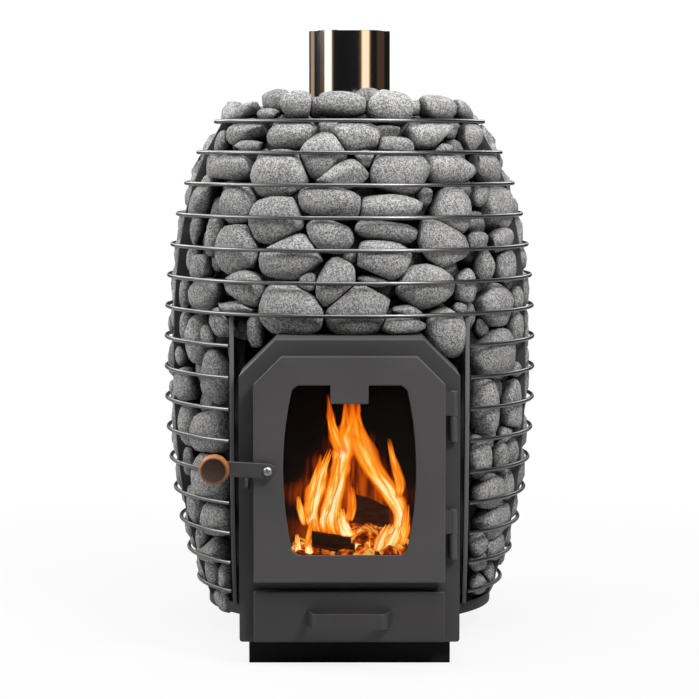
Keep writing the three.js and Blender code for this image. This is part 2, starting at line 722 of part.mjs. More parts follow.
const headBackY = leverFrontY - FIT;
const shankEnd = headBackY - doorFrontY - DOOR_SHEET;
addPart('latch_screw', turnedAlongFront([
  [0, shankEnd],
  [SCREW_DIAMETER / 2, shankEnd],
  [SCREW_DIAMETER / 2, 0],
  [SCREW_HEAD / 2, 0],
  [SCREW_HEAD / 2, SCREW_HEAD_HEIGHT / 2],
  [SCREW_HEAD / 3, SCREW_HEAD_HEIGHT],
  [0, SCREW_HEAD_HEIGHT],
], pivotX, headBackY, pivotZ, SMALL_ROUND_STEPS), brightSteel);

const bushInner = SCREW_DIAMETER / 2 + FIT;
addPart('latch_bush', turnedAlongFront([
  [bushInner, 0],
  [BUSH_DIAMETER / 2, 0],
  [BUSH_DIAMETER / 2, BUSH_LENGTH],
  [bushInner, BUSH_LENGTH],
  [bushInner, 0],
], pivotX, doorFrontY - FIT, pivotZ, SMALL_ROUND_STEPS), brightSteel);

const KNOB_NECK = 24;
const KNOB_EDGE = 4;
const KNOB_DISH = 2;
addPart('latch_knob', turnedAlongFront([
  [0, -LEVER_SHEET - FIT],
  [KNOB_TENON / 2, -LEVER_SHEET - FIT],
  [KNOB_TENON / 2, 0],
  [KNOB_NECK / 2, 0],
  [KNOB_DIAMETER / 2 - KNOB_EDGE / 2, KNOB_LENGTH / 3],
  [KNOB_DIAMETER / 2, KNOB_LENGTH / 2],
  [KNOB_DIAMETER / 2, KNOB_LENGTH - KNOB_EDGE],
  [KNOB_DIAMETER / 2 - KNOB_EDGE, KNOB_LENGTH],
  [KNOB_FACE / 2, KNOB_LENGTH],
  [KNOB_FACE / 2 - KNOB_DISH, KNOB_LENGTH - KNOB_DISH],
  [0, KNOB_LENGTH - KNOB_DISH],
], knobX, leverFrontY - FIT, knobZ, ROUND_STEPS / 2), knobWood);

// The lever rests clear on the hook's tip and drops behind it when it is pressed down
function latchKeeper() {
  const leverBelow = pivotZ + (pivotX - keeperX) * Math.tan(tilt) - LEVER_HEIGHT / 2 / Math.cos(tilt);
  const tip = leverBelow - RUNNING_FIT;
  const slot = tip - KEEPER_HOOK - RUNNING_FIT;
  const slotFrontY = leverFrontY - 2 * RUNNING_FIT;
  const toothFrontY = slotFrontY - KEEPER_TOOTH;
  const rootY = frameFrontY - FIT;
  const profile = new THREE.Shape();
  profile.moveTo(rootY, tip - KEEPER_HEIGHT);
  profile.lineTo(rootY, slot);
  profile.lineTo(slotFrontY, slot);
  profile.lineTo(slotFrontY, tip);
  profile.lineTo(toothFrontY, tip);
  profile.lineTo(toothFrontY, tip - KEEPER_HEIGHT / 2);
  profile.closePath();
  const hook = new THREE.ExtrudeGeometry(profile, { depth: KEEPER_SHEET, bevelEnabled: false });
  hook.rotateZ(Math.PI / 2).rotateY(Math.PI / 2).translate(keeperX - KEEPER_SHEET / 2, 0, 0);
  const foot = block(keeperX - KEEPER_FOOT / 2, keeperX + KEEPER_FOOT / 2, rootY - KEEPER_SHEET, rootY,
    tip - KEEPER_HEIGHT, slot);
  return solid(hook).add(solid(foot));
}

addPart('latch_keeper', latchKeeper(), bodySteel);

// Ash drawer: pressed front, open tray on two runners, and a bent strip handle

function drawerFront() {
  const inset = DRAWER_EDGE;
  const outline = rectangle(-drawerWidth / 2 + inset, drawerWidth / 2 - inset, drawerBottom + inset,
    drawerTop - inset);
  const pressed = new THREE.ExtrudeGeometry(outline, {
    depth: DRAWER_DEPTH - inset,
    bevelThickness: DRAWER_EDGE,
    bevelSize: DRAWER_EDGE,
    bevelSegments: 2,
  });
  pressed.rotateX(Math.PI / 2).translate(0, drawerBackY, 0);
  const behindY = drawerBackY + DRAWER_DEPTH;
  const behind = block(-drawerWidth, drawerWidth, drawerBackY, behindY, 0, 2 * drawerTop);
  const wall = DRAWER_SHEET;
  const half = drawerWidth / 2 - wall;
  const pocket = block(-half, half, drawerFrontY + wall, drawerBackY + 1, drawerBottom + wall,
    drawerTop - wall);
  return solid(pressed).subtract(solid(behind)).subtract(solid(pocket));
}

addPart('drawer_front', drawerFront(), doorSteel);

const trayFrontY = drawerFrontY + DRAWER_SHEET + FIT;
const trayBackY = backPlateY - TRAY_BACK_GAP;

function drawerTray() {
  const half = trayWidth / 2;
  const outer = block(-half, half, trayFrontY, trayBackY, trayBottom, trayTop);
  const inner = block(-half + TRAY_SHEET, half - TRAY_SHEET, trayFrontY + TRAY_SHEET, trayBackY - TRAY_SHEET,
    trayBottom + TRAY_SHEET, trayTop + 1);
  return solid(outer).subtract(solid(inner));
}

addPart('drawer_tray', drawerTray(), bodySteel);

function drawerHandle() {
  const footY = drawerFrontY - FIT;
  const gripY = footY - HANDLE_REACH;
  const [front, feet, wall] = [HANDLE_FRONT / 2, HANDLE_FEET / 2, HANDLE_SHEET];
  const plan = new THREE.Shape();
  plan.moveTo(-feet, footY);
  plan.lineTo(-front, gripY);
  plan.lineTo(front, gripY);
  plan.lineTo(feet, footY);
  plan.lineTo(feet - wall, footY);
  plan.lineTo(front - wall / 2, gripY + wall);
  plan.lineTo(-front + wall / 2, gripY + wall);
  plan.lineTo(-feet + wall, footY);
  plan.closePath();
  return prismAlongZ(plan, handleZ - HANDLE_HEIGHT / 2, handleZ + HANDLE_HEIGHT / 2);
}

addPart('drawer_handle', drawerHandle(), doorSteel);

const shellFloor = BODY_BOTTOM + BODY_WALL;
for (const [name, x] of [['drawer_runner_left', -runnerX], ['drawer_runner_right', runnerX]]) {
  const runner = block(x - RUNNER_WIDTH / 2, x + RUNNER_WIDTH / 2, hearthFrontY, trayBackY, shellFloor + FIT,
    shellFloor + FIT + RUNNER_HEIGHT);
  addPart(name, runner, bodySteel);
}

// Stones: rounded pebbles packed in courses against the hoops, joined in groups between the ribs

const PEBBLE_SIDES = 5;
const PEBBLE_RINGS = 3;
const PEBBLE_UNEVEN = 0.16;
const CORE_STEPS = 2;
const CORE_SIDES = 12;
const SLOT_STEPS = 3;

// A repeatable number from 0 to 1 for each seed
function chance(seed) {
  const wave = Math.sin(seed * 12.9898 + 4.137) * 43758.5453;
  return wave - Math.floor(wave);
}

// A pebble of the given depth along X, width along Y and height along Z
function pebble(depth, width, height, seed) {
  const form = new THREE.SphereGeometry(1, PEBBLE_SIDES, PEBBLE_RINGS);
  form.deleteAttribute('normal');
  form.deleteAttribute('uv');
  const merged = mergeVertices(form);
  const place = merged.getAttribute('position');
  const point = new THREE.Vector3();
  for (let index = 0; index < place.count; index += 1) {
    point.fromBufferAttribute(place, index);
    point.multiplyScalar(1 - PEBBLE_UNEVEN * chance(seed * 31 + index));
    place.setXYZ(index, point.x, point.y, point.z);
  }
  merged.rotateZ(-Math.PI / 2).rotateX(chance(seed) * Math.PI);
  return merged.scale(depth / 2, width / 2, height / 2);
}

const stoneRadius = (z) => insideHoops(z) - STONE_CLEAR;

function stoneCore(z0, z1) {
  const profile = [[0, z0]];
  for (let step = 0; step <= CORE_STEPS; step += 1) {
    const z = THREE.MathUtils.lerp(z0, z1, step / CORE_STEPS);
    profile.push([stoneRadius(z) - STONE_DEPTH + STONE_BURY, z]);
  }
  profile.push([0, z1]);
  return turned(profile, CORE_SIDES);
}

function wedge(fromAzimuth, toAzimuth, z0, z1) {
  const reach = 2 * BELLY_RADIUS;
  const plan = new THREE.Shape();
  plan.moveTo(0, 0);
  for (const share of [0, 0.5, 1]) {
    const azimuth = radians(THREE.MathUtils.lerp(fromAzimuth + STONE_SPLIT, toAzimuth - STONE_SPLIT, share));
    plan.lineTo(reach * Math.sin(azimuth), -reach * Math.cos(azimuth));
  }
  plan.closePath();
  return prismAlongZ(plan, z0, z1);
}

function courseStones(fromAzimuth, toAzimuth, z0, z1, seed) {
  const courses = Math.max(1, Math.round((z1 - z0) / STONE_HEIGHT));
  const rise = (z1 - z0) / courses;
  const stones = [];
  for (let course = 0; course < courses; course += 1) {
    const z = z0 + rise * (course + 0.5);
    const span = radians(toAzimuth - fromAzimuth) * stoneRadius(z);
    const count = Math.max(1, Math.round(span / STONE_WIDTH) + (course % 2));
    for (let index = 0; index < count; index += 1) {
      const own = seed + course * 17 + index * 5;
      const azimuth = THREE.MathUtils.lerp(fromAzimuth, toAzimuth, (index + 0.5) / count);
      const drop = (chance(own + 2) - 0.5) * 0.2 * rise;
      const width = (span / count) * (1.0 - 0.06 * chance(own + 1));
      const stone = pebble(STONE_DEPTH, width, rise * (1.02 - 0.06 * chance(own + 3)), own);
      stone.translate(stoneRadius(z + drop) - STONE_DEPTH / 2, 0, z + drop);
      stones.push(atAzimuth(stone, azimuth));
    }
  }
  return stones;
}

function crownStones(fromAzimuth, toAzimuth, seed) {
  return CROWN_RINGS.flatMap((ring, level) => Array.from({ length: ring.each }, (_, index) => {
    const own = seed + 71 * (level + 1) + index * 3;
    const azimuth = THREE.MathUtils.lerp(fromAzimuth, toAzimuth, (index + 0.5) / ring.each);
    const width = ring.width * (0.92 + 0.16 * chance(own));
    const stone = pebble(ring.height, width, ring.width, own).rotateY(Math.PI / 2);
    const radius = THREE.MathUtils.lerp(FLUE_DIAMETER / 2, TOP_HOOP_RADIUS, ring.out);
    return atAzimuth(stone.translate(radius, 0, TOP_HOOP_Z + ring.rise), azimuth);
  }));
}

// A slot through the stones that a rib stands in
function ribSlot(azimuth) {
  const half = RIB_THICKNESS / 2 + RUNNING_FIT;
  const outline = new THREE.Shape();
  outline.moveTo(2 * BELLY_RADIUS, 0);
  outline.lineTo(2 * BELLY_RADIUS, flueTop);
  for (let step = SLOT_STEPS; step >= 0; step -= 1) {
    const z = THREE.MathUtils.lerp(panFloor, TOP_HOOP_Z, step / SLOT_STEPS);
    outline.lineTo(insideHoops(z) - RIB_DEPTH - RUNNING_FIT, z);
  }
  outline.lineTo(panSeatRadius - RIB_DEPTH - RUNNING_FIT, 0);
  outline.closePath();
  return atAzimuth(prismAlongY(outline, -half, half), azimuth);
}

const ribCuts = Object.values(ribAzimuths).map((azimuth) => solid(ribSlot(azimuth)));
const doorSideX = postX + POST_THICKNESS / 2 + RUNNING_FIT;
const doorSideCut = solid(block(-doorSideX, doorSideX, -2 * BELLY_RADIUS, POST_STONES_Y, 0, BODY_TOP));
const postBackY = POST_DEPTH + RUNNING_FIT - postReach(basketRadius(postTop));
const postCuts = [-postX, postX].map((x) => solid(block(x - POST_THICKNESS / 2 - RUNNING_FIT,
  x + POST_THICKNESS / 2 + RUNNING_FIT, -2 * BELLY_RADIUS, postBackY, BODY_TOP, postTop + RUNNING_FIT)));
const panRimCut = solid(pipe(2 * panRadius, panSeatRadius, 0, panRimTop + RUNNING_FIT, CORE_SIDES));
const bodyCutOutline = houseOutline(bodyHouse, -RUNNING_FIT);
const bodyCut = solid(prismAlongY(bodyCutOutline, frameFrontY, BODY_BACK_Y + RUNNING_FIT));
const flueCut = solid(rodAlongZ(FLUE_DIAMETER / 2 + STONE_CLEAR, 0, 0, 0, 2 * flueTop, ROUND_STEPS));
const stoneCuts = [...ribCuts, ...postCuts, doorSideCut, panRimCut, bodyCut, flueCut];
const stoneFloor = panFloor + FIT;
const stoneSplitZ = BODY_TOP + RUNNING_FIT;

// One group is the largest body left once its stones are cut clear of the ribs, firebox and flue
function stoneGroup(name, fromAzimuth, toAzimuth, z0, z1, stones) {
  const filled = stones.reduce((body, stone) => body.add(solid(stone)), solid(stoneCore(z0, z1)));
  const slice = filled.intersect(solid(wedge(fromAzimuth, toAzimuth, z0, z1 + STONE_DEPTH)));
  const clear = stoneCuts.reduce((body, cut) => body.subtract(cut), slice);
  const lumps = clear.decompose().sort((a, b) => b.volume() - a.volume());
  addPart(name, lumps[0], greyStone);
}

// The lower groups part where the firebox's back corners are, so each one fits round a single wall
const rearSplit = 180 - THREE.MathUtils.radToDeg(Math.atan(BODY_WIDTH / 2 / BODY_BACK_Y));
const doorSplit = THREE.MathUtils.radToDeg(Math.asin(doorSideX / BELLY_RADIUS));
const lowerGroups = [
  ['stones_lower_left', -rearSplit, -doorSplit],
  ['stones_lower_right', doorSplit, rearSplit],
  ['stones_lower_rear', rearSplit, 360 - rearSplit],
];
lowerGroups.forEach(([name, from, to], index) => {
  const stones = courseStones(from, to, stoneFloor, BODY_TOP - FIT, 100 * (index + 1));
  stoneGroup(name, from, to, stoneFloor, BODY_TOP - FIT, stones);
});

const crownBase = TOP_HOOP_Z + CROWN_RINGS[0].rise - CROWN_RINGS[0].height / 2;
const upperGroups = [
  ['stones_upper_front_left', -FRONT_RIB_AZIMUTH, 0],
  ['stones_upper_front_right', 0, FRONT_RIB_AZIMUTH],
  ['stones_upper_right', FRONT_RIB_AZIMUTH, REAR_RIB_AZIMUTH],
  ['stones_upper_rear', REAR_RIB_AZIMUTH, 360 - REAR_RIB_AZIMUTH],
  ['stones_upper_left', -REAR_RIB_AZIMUTH, -FRONT_RIB_AZIMUTH],
];
upperGroups.forEach(([name, from, to], index) => {
  const seed = 1000 + 100 * index;
  const stones = courseStones(from, to, stoneSplitZ, crownBase + STONE_HEIGHT / 2, seed);
  const crown = crownStones(from, to, seed);
  stoneGroup(name, from, to, stoneSplitZ, crownBase + STONE_BURY, [...stones, ...crown]);
});

export default stove;
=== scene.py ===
import math
import random
from collections import namedtuple

import bmesh
import bpy
from mathutils import Matrix, Vector, noise


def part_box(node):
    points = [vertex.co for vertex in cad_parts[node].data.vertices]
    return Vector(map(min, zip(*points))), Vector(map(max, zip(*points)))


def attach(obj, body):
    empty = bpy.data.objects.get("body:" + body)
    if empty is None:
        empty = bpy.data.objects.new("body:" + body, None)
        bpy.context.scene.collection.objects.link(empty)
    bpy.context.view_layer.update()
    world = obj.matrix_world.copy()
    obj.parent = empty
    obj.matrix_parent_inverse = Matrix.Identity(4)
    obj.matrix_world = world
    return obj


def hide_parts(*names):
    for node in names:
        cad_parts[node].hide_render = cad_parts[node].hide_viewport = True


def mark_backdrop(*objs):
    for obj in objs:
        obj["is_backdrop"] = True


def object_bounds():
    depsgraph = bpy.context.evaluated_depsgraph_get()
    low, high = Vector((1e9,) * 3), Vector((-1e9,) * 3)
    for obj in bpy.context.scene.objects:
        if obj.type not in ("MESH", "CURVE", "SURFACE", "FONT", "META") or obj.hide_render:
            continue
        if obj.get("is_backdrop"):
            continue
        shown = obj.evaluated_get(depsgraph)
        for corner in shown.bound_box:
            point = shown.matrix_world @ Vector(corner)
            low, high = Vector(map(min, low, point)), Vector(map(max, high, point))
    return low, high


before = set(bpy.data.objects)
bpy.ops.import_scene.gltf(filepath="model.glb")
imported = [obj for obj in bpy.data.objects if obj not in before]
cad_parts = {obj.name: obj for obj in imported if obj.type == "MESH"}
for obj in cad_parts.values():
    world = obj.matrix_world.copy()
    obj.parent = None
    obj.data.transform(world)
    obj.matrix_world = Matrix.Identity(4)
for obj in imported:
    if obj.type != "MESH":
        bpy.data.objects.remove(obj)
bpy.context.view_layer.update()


# Plinth: a low skirt of sheet steel, folded at its corners and painted matt black. It stands on
# the floor, and the base pan and the firebox rest on its upper edge.
class Shade:
    """A socket of a material's nodes, so that shader maths reads as an expression."""

    def __init__(self, tree, socket=None):
        self.tree = tree
        self.socket = socket

    def node(self, kind, settings=None, sockets=None, output=0):
        made = self.tree.nodes.new(kind)
        for name, value in (settings or {}).items():
            if name == "stops":
                self.set_stops(made.color_ramp, value)
            else:
                setattr(made, name, value)
        for name, value in (sockets or {}).items():
            if isinstance(value, Shade):
                self.tree.links.new(value.socket, made.inputs[name])
            else:
                made.inputs[name].default_value = value
        return Shade(self.tree, made.outputs[output]) if made.outputs else None

    def set_stops(self, ramp, stops):
        while len(ramp.elements) < len(stops):
            ramp.elements.new(1.0)
        for element, (place, colour) in zip(ramp.elements, stops):
            element.position = place
            element.color = (*colour, 1.0)

    def maths(self, operation, first, second):
        return self.node("ShaderNodeMath", {"operation": operation}, {0: first, 1: second})

    def __add__(self, other):
        return self.maths("ADD", self, other)

    def __radd__(self, other):
        return self.maths("ADD", other, self)

    def __sub__(self, other):
        return self.maths("SUBTRACT", self, other)

    def __rsub__(self, other):
        return self.maths("SUBTRACT", other, self)

    def __mul__(self, other):
        return self.maths("MULTIPLY", self, other)

    def __rmul__(self, other):
        return self.maths("MULTIPLY", other, self)

    def greater(self, other):
        return self.maths("MAXIMUM", self, other)

    def ramp(self, low, high):
        return self.node(
            "ShaderNodeMapRange",
            {"interpolation_type": "SMOOTHSTEP"},
            {"Value": self, "From Min": low, "From Max": high},
        )

    def mix(self, low, high):
        colours = [c if isinstance(c, Shade) else (*c, 1.0) for c in (low, high)]
        return self.node(
            "ShaderNodeMix", {"data_type": "RGBA"}, {0: self, 6: colours[0], 7: colours[1]}, 2
        )

    def stretched(self, scale):
        return self.node("ShaderNodeMapping", {}, {"Vector": self, "Scale": scale})

    def axis(self, letter):
        return self.node("ShaderNodeSeparateXYZ", {}, {0: self}, letter)

    def noise(self, scale, detail=2.0):
        return self.node(
            "ShaderNodeTexNoise", {}, {"Vector": self, "Scale": scale, "Detail": detail}
        )

    def bump(self, distance):
        return self.node("ShaderNodeBump", {}, {"Distance": distance, "Height": self})

    def surface(self, sockets):
        shader = self.node("ShaderNodeBsdfPrincipled", {}, sockets)
        self.node("ShaderNodeOutputMaterial", {}, {"Surface": shader})


def new_material(name):
    made = bpy.data.materials.new(name)
    made.use_nodes = True
    made.node_tree.nodes.clear()
    return made, Shade(made.node_tree)


def steel(name, colour, wear_and_painted_light, roughness, metallic=0.0, shine=0.34, grain=1100.0):
    made, paint = new_material(name)
    place = paint.node("ShaderNodeTexCoord", output="Object")
    cloud = place.noise(11.0, 5.0)
    fine = place.noise(grain, 2.0)
    tone = (cloud * 0.55 + fine * 0.45).ramp(0.36, 0.64)
    paint.surface({
        "Base Color": tone.mix(wear_and_painted_light, colour),
        "Roughness": cloud * 0.14 + fine * 0.10 + (roughness - 0.12),
        "Metallic": metallic,
        "Specular IOR Level": shine,
        "Normal": fine.bump(0.00012),
    })
    return made


def dress(material, edge, *names):
    for name in names:
        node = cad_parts[name]
        node.data.materials.clear()
        node.data.materials.append(material)
        weld = node.modifiers.new("weld", "WELD")
        weld.merge_threshold = 0.00002
        rounded = node.modifiers.new("rounded edges", "BEVEL")
        rounded.width = edge
        rounded.segments = 3
        rounded.angle_limit = math.radians(35)


plinth_paint = steel("plinth_black", (0.0050, 0.0044, 0.0047), (0.008, 0.0070, 0.0073), 0.7, shine=0.12)
dress(plinth_paint, 0.0012, "plinth")


# Base pan: a shallow round dish of sheet steel with a turned-up rim, notched for the firebox.
# It carries the stones at the foot of the basket, and its paint is matt black.
def add_piece(name, bm, material, body, nodes=(), crease=40.0):
    bmesh.ops.recalc_face_normals(bm, faces=bm.faces)
    for face in bm.faces:
        face.smooth = True
    for edge in bm.edges:
        edge.smooth = edge.calc_face_angle(0.0) < math.radians(crease)
    mesh = bpy.data.meshes.new(name)
    bm.to_mesh(mesh)
    bm.free()
    mesh.materials.append(material)
    made = bpy.data.objects.new(name, mesh)
    bpy.context.scene.collection.objects.link(made)
    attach(made, body)
    if nodes:
        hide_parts(*nodes)
    return made


PAN_SHEET = 0.003
PAN_CLEAR = 0.0004
pan_paint = steel("pan_steel", (0.010, 0.0095, 0.010), (0.018, 0.017, 0.017), 0.5)
pan_low, pan_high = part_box("base_pan")
neck_low, neck_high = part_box("firebox_shell")
bm = bmesh.new()
level = Matrix.Translation((0, 0, pan_low.z))
bmesh.ops.create_circle(bm, cap_ends=True, segments=144, radius=pan_high.x, matrix=level)
notch = [
    ((neck_high.x + PAN_CLEAR, 0, 0), (1, 0, 0)), ((neck_low.x - PAN_CLEAR, 0, 0), (1, 0, 0)),
    ((0, neck_high.y + PAN_CLEAR, 0), (0, 1, 0)), ((0, pan_low.y, 0), (0, 1, 0)),
]
for point, normal in notch:
    geometry = bm.verts[:] + bm.edges[:] + bm.faces[:]
    bmesh.ops.bisect_plane(bm, geom=geometry, plane_co=point, plane_no=normal)


def in_notch(face):
    middle = face.calc_center_median()
    beside = abs(middle.x) < neck_high.x and middle.y < neck_high.y
    return beside or middle.y < pan_low.y


bmesh.ops.delete(bm, geom=[f for f in bm.faces if in_notch(f)], context="FACES")
outer = [e for e in bm.edges if e.is_boundary and min(v.co.xy.length for v in e.verts) > 0.999 * pan_high.x]
risen = bmesh.ops.extrude_edge_only(bm, edges=outer)["geom"]
rim = [v for v in risen if isinstance(v, bmesh.types.BMVert)]
bmesh.ops.translate(bm, verts=rim, vec=(0, 0, pan_high.z - pan_low.z))
dish = add_piece("pan_dish", bm, pan_paint, "stove", ["base_pan"])
sheet = dish.modifiers.new("sheet", "SOLIDIFY")
sheet.thickness = PAN_SHEET
sheet.offset = -1.0
eased = dish.modifiers.new("eased edges", "BEVEL")
eased.width = 0.0006
eased.segments = 2
eased.angle_limit = math.radians(50)


# Firebox: a welded box of 4 mm plate with chamfered upper corners, open at the front, with a back
# plate, a hearth plate, a cast grate and a collar for the flue. Outside it is painted, inside sooty.
def firebox_steel(outside, soot):
    made, paint = new_material("firebox_steel")
    place = paint.node("ShaderNodeTexCoord", output="Object")
    low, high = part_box("firebox_shell")
    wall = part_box("firebox_back")[0].x - low.x
    chamfer = 0.048
    across = place.axis("X")
    side = across.greater(0.0 - across)
    height = place.axis("Z")
    beyond_side = side - (high.x - wall / 2)
    beyond_top = height - (high.z - wall / 2)
    beyond_corner = side + height - (high.x + high.z - chamfer - 0.7 * wall)
    beneath = (low.z + wall / 2) - height
    shown = beyond_side.greater(beyond_top).greater(beyond_corner).greater(beneath)
    painted = shown.ramp(-0.0002, 0.0002)
    cloud = place.noise(16.0, 5.0)
    fine = place.noise(1000.0, 2.0)
    soiled = cloud.ramp(0.3, 0.7).mix(soot, [2.4 * c for c in soot])
    clean = fine.ramp(0.3, 0.7).mix([0.75 * c for c in outside], outside)
    paint.surface({
        "Base Color": painted.mix(soiled, clean),
        "Roughness": 0.95 - 0.42 * painted + 0.1 * cloud,
        "Normal": fine.bump(0.00012),
    })
    return made


SOOT = (0.004, 0.0034, 0.003)
# The body's grey is darker than the door's paint: painted shade.
SHADED_BODY_GREY = (0.039, 0.0379, 0.0386)
dress(firebox_steel(SHADED_BODY_GREY, SOOT), 0.0010, "firebox_shell")
sooty_steel = steel("sooty_steel", (0.009, 0.0075, 0.0066), SOOT, 0.9, grain=500.0)
dress(sooty_steel, 0.0006, "firebox_back", "hearth_plate", "flue_collar")
sooty_iron = steel("sooty_iron", (0.018, 0.015, 0.013), SOOT, 0.85, grain=420.0)
dress(sooty_iron, 0.0015, "fire_grate")


# Front frame: a flat plate with chamfered upper corners, cut out for the door and the drawer and
# welded to the front of the firebox. It has the door's dark grey heat-proof paint, coloured darker than the
# door here: painted shade.
body_paint = steel("body_grey", SHADED_BODY_GREY, (0.033, 0.0319, 0.0326), 0.5)
dress(body_paint, 0.0022, "front_frame")


# Ash drawer: a pressed front with rounded edges, a bent strip handle screwed on from behind, and
# a folded tray that slides on two angle runners under the hearth plate.
def add_block(bm, low, high):
    place = Matrix.Translation((low + high) / 2) @ Matrix.Diagonal((*(high - low), 1.0))
    return bmesh.ops.create_cube(bm, size=1.0, matrix=place)["verts"]


def round_edges(bm, edges, width, segments):
    bmesh.ops.bevel(
        bm, geom=edges, offset=width, segments=segments, profile=0.5, affect="EDGES", material=-1,
        offset_type="OFFSET",
    )


def draw_out(bm, faces, step):
    pulled = bmesh.ops.extrude_face_region(bm, geom=faces)["geom"]
    moved = [v for v in pulled if isinstance(v, bmesh.types.BMVert)]
    bmesh.ops.delete(bm, geom=[f for f in faces if f.is_valid], context="FACES_ONLY")
    bmesh.ops.translate(bm, verts=moved, vec=step)
    return [f for f in pulled if isinstance(f, bmesh.types.BMFace)]


PRESSED_EDGE = 0.0030
PRESSED_SHEET = 0.003
drawer_low, drawer_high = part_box("drawer_front")
bm = bmesh.new()
add_block(bm, drawer_low, drawer_high)
back = [f for f in bm.faces if f.normal.y > 0.9]
turned = [e for e in bm.edges if min(v.co.y for v in e.verts) < drawer_low.y + PRESSED_SHEET]
bmesh.ops.inset_individual(bm, faces=back, thickness=PRESSED_SHEET)
hollow = Vector((0, PRESSED_SHEET - (drawer_high.y - drawer_low.y), 0))
draw_out(bm, back, hollow)
round_edges(bm, turned, PRESSED_EDGE, 5)
drawer_paint = steel("drawer_grey", (0.034, 0.032, 0.034), (0.029, 0.027, 0.029), 0.42)
add_piece("drawer_face", bm, drawer_paint, "ash_drawer", ["drawer_front"])

HANDLE_SHEET = 0.003
HANDLE_BEND = 0.007
GRIP_SHARE = 96 / 112
handle_low, handle_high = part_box("drawer_handle")
foot = handle_high.x - HANDLE_SHEET / 2
grip = foot * GRIP_SHARE
grip_y = handle_low.y + HANDLE_SHEET / 2
bm = bmesh.new()
bends = [(-foot, handle_high.y), (-grip, grip_y), (grip, grip_y), (foot, handle_high.y)]
line = [bm.verts.new((x, y, handle_low.z)) for x, y in bends]
strip = [bm.edges.new(pair) for pair in zip(line, line[1:])]
raised = bmesh.ops.extrude_edge_only(bm, edges=strip)["geom"]
top = [v for v in raised if isinstance(v, bmesh.types.BMVert)]
bmesh.ops.translate(bm, verts=top, vec=(0, 0, handle_high.z - handle_low.z))
folds = [e for e in bm.edges if not e.is_boundary]
round_edges(bm, folds, HANDLE_BEND, 6)
bmesh.ops.recalc_face_normals(bm, faces=bm.faces)
handle = add_piece("drawer_pull", bm, drawer_paint, "ash_drawer", ["drawer_handle"])
thick = handle.modifiers.new("sheet", "SOLIDIFY")
thick.thickness = HANDLE_SHEET
thick.offset = 0.0
eased = handle.modifiers.new("eased edges", "BEVEL")
eased.width = 0.0007
eased.segments = 3
eased.angle_limit = math.radians(50)

tray_steel = steel("tray_steel", (0.05, 0.047, 0.045), (0.02, 0.018, 0.017), 0.55, metallic=0.4)
dress(tray_steel, 0.0005, "drawer_tray", "drawer_runner_left", "drawer_runner_right")


# Door: a folded steel pan with a barrel-shaped window and a square tab at the window's head. The
# glass lies behind the window on a thin gasket, held by two clips, and a rope seals the rim.
door_paint = steel("door_grey", (0.054, 0.0513, 0.0522), (0.047, 0.0448, 0.0453), 0.46)
dress(door_paint, 0.0016, "door_panel")


def rope(name, pale, shade):
    made, paint = new_material(name)
    place = paint.node("ShaderNodeTexCoord", output="Object")
    braid = place.node(
        "ShaderNodeTexWave",
        {"wave_type": "BANDS", "bands_direction": "DIAGONAL"},
        {"Vector": place, "Scale": 160.0, "Distortion": 2.5, "Detail": 2.0, "Detail Scale": 3.0},
    )
    yarn = place.noise(700.0, 3.0)
    paint.surface({
        "Base Color": (braid * 0.6 + yarn * 0.4).ramp(0.2, 0.8).mix(shade, pale),
        "Roughness": 0.95,
        "Normal": (braid + yarn * 0.4).bump(0.0008),
    })
    return made


dress(rope("seal_rope", (0.16, 0.15, 0.14), (0.05, 0.047, 0.044)), 0.0020, "door_seal")
dress(rope("gasket_tape", (0.03, 0.029, 0.028), (0.012, 0.011, 0.011)), 0.0003, "glass_gasket")
bare_steel = steel("bare_steel", (0.34, 0.34, 0.345), (0.24, 0.24, 0.25), 0.36, metallic=0.9)
dress(bare_steel, 0.0004, "glass_clip_left", "glass_clip_right")


def fire_glass(smoke, soot_share):
    made, paint = new_material("fire_glass")
    place = paint.node("ShaderNodeTexCoord", output="Object")
    haze = place.noise(9.0, 4.0).ramp(0.35, 0.8)
    clear = paint.node("ShaderNodeBsdfTransparent", {}, {"Color": (*smoke, 1.0)})
    polish = paint.node("ShaderNodeBsdfGlossy", {}, {"Color": (0.12, 0.12, 0.12, 1.0), "Roughness": 0.03})
    bounce = paint.node("ShaderNodeFresnel", {}, {"IOR": 1.45})
    pane = paint.node("ShaderNodeMixShader", {}, {0: bounce, 1: clear, 2: polish})
    film = paint.node("ShaderNodeBsdfDiffuse", {}, {"Color": (0.02, 0.017, 0.015, 1.0)})
    dusty = paint.node("ShaderNodeMixShader", {}, {0: haze * soot_share, 1: pane, 2: film})
    paint.node("ShaderNodeOutputMaterial", {}, {"Surface": dusty})
    return made


dress(fire_glass((0.94, 0.92, 0.90), 0.10), 0.0004, "door_glass")


# Hinges: two weld-on hinges of turned steel, painted with the stove. Each has a lower barrel with
# a pin on the frame, and an upper barrel with a leaf on the door's edge.
def add_rod(bm, radius, axis_x, axis_y, low, high, sides=40):
    place = Matrix.Translation((axis_x, axis_y, (low + high) / 2))
    return bmesh.ops.create_cone(
        bm, cap_ends=True, segments=sides, radius1=radius, radius2=radius, depth=high - low,
        matrix=place,
    )["verts"]


def rims(bm, axis_x, axis_y, radius):
    def on_rim(v):
        return math.hypot(v.co.x - axis_x, v.co.y - axis_y) > 0.98 * radius

    level = [e for e in bm.edges if abs(e.verts[0].co.z - e.verts[1].co.z) < 1e-6]
    return [e for e in level if all(on_rim(v) for v in e.verts)]


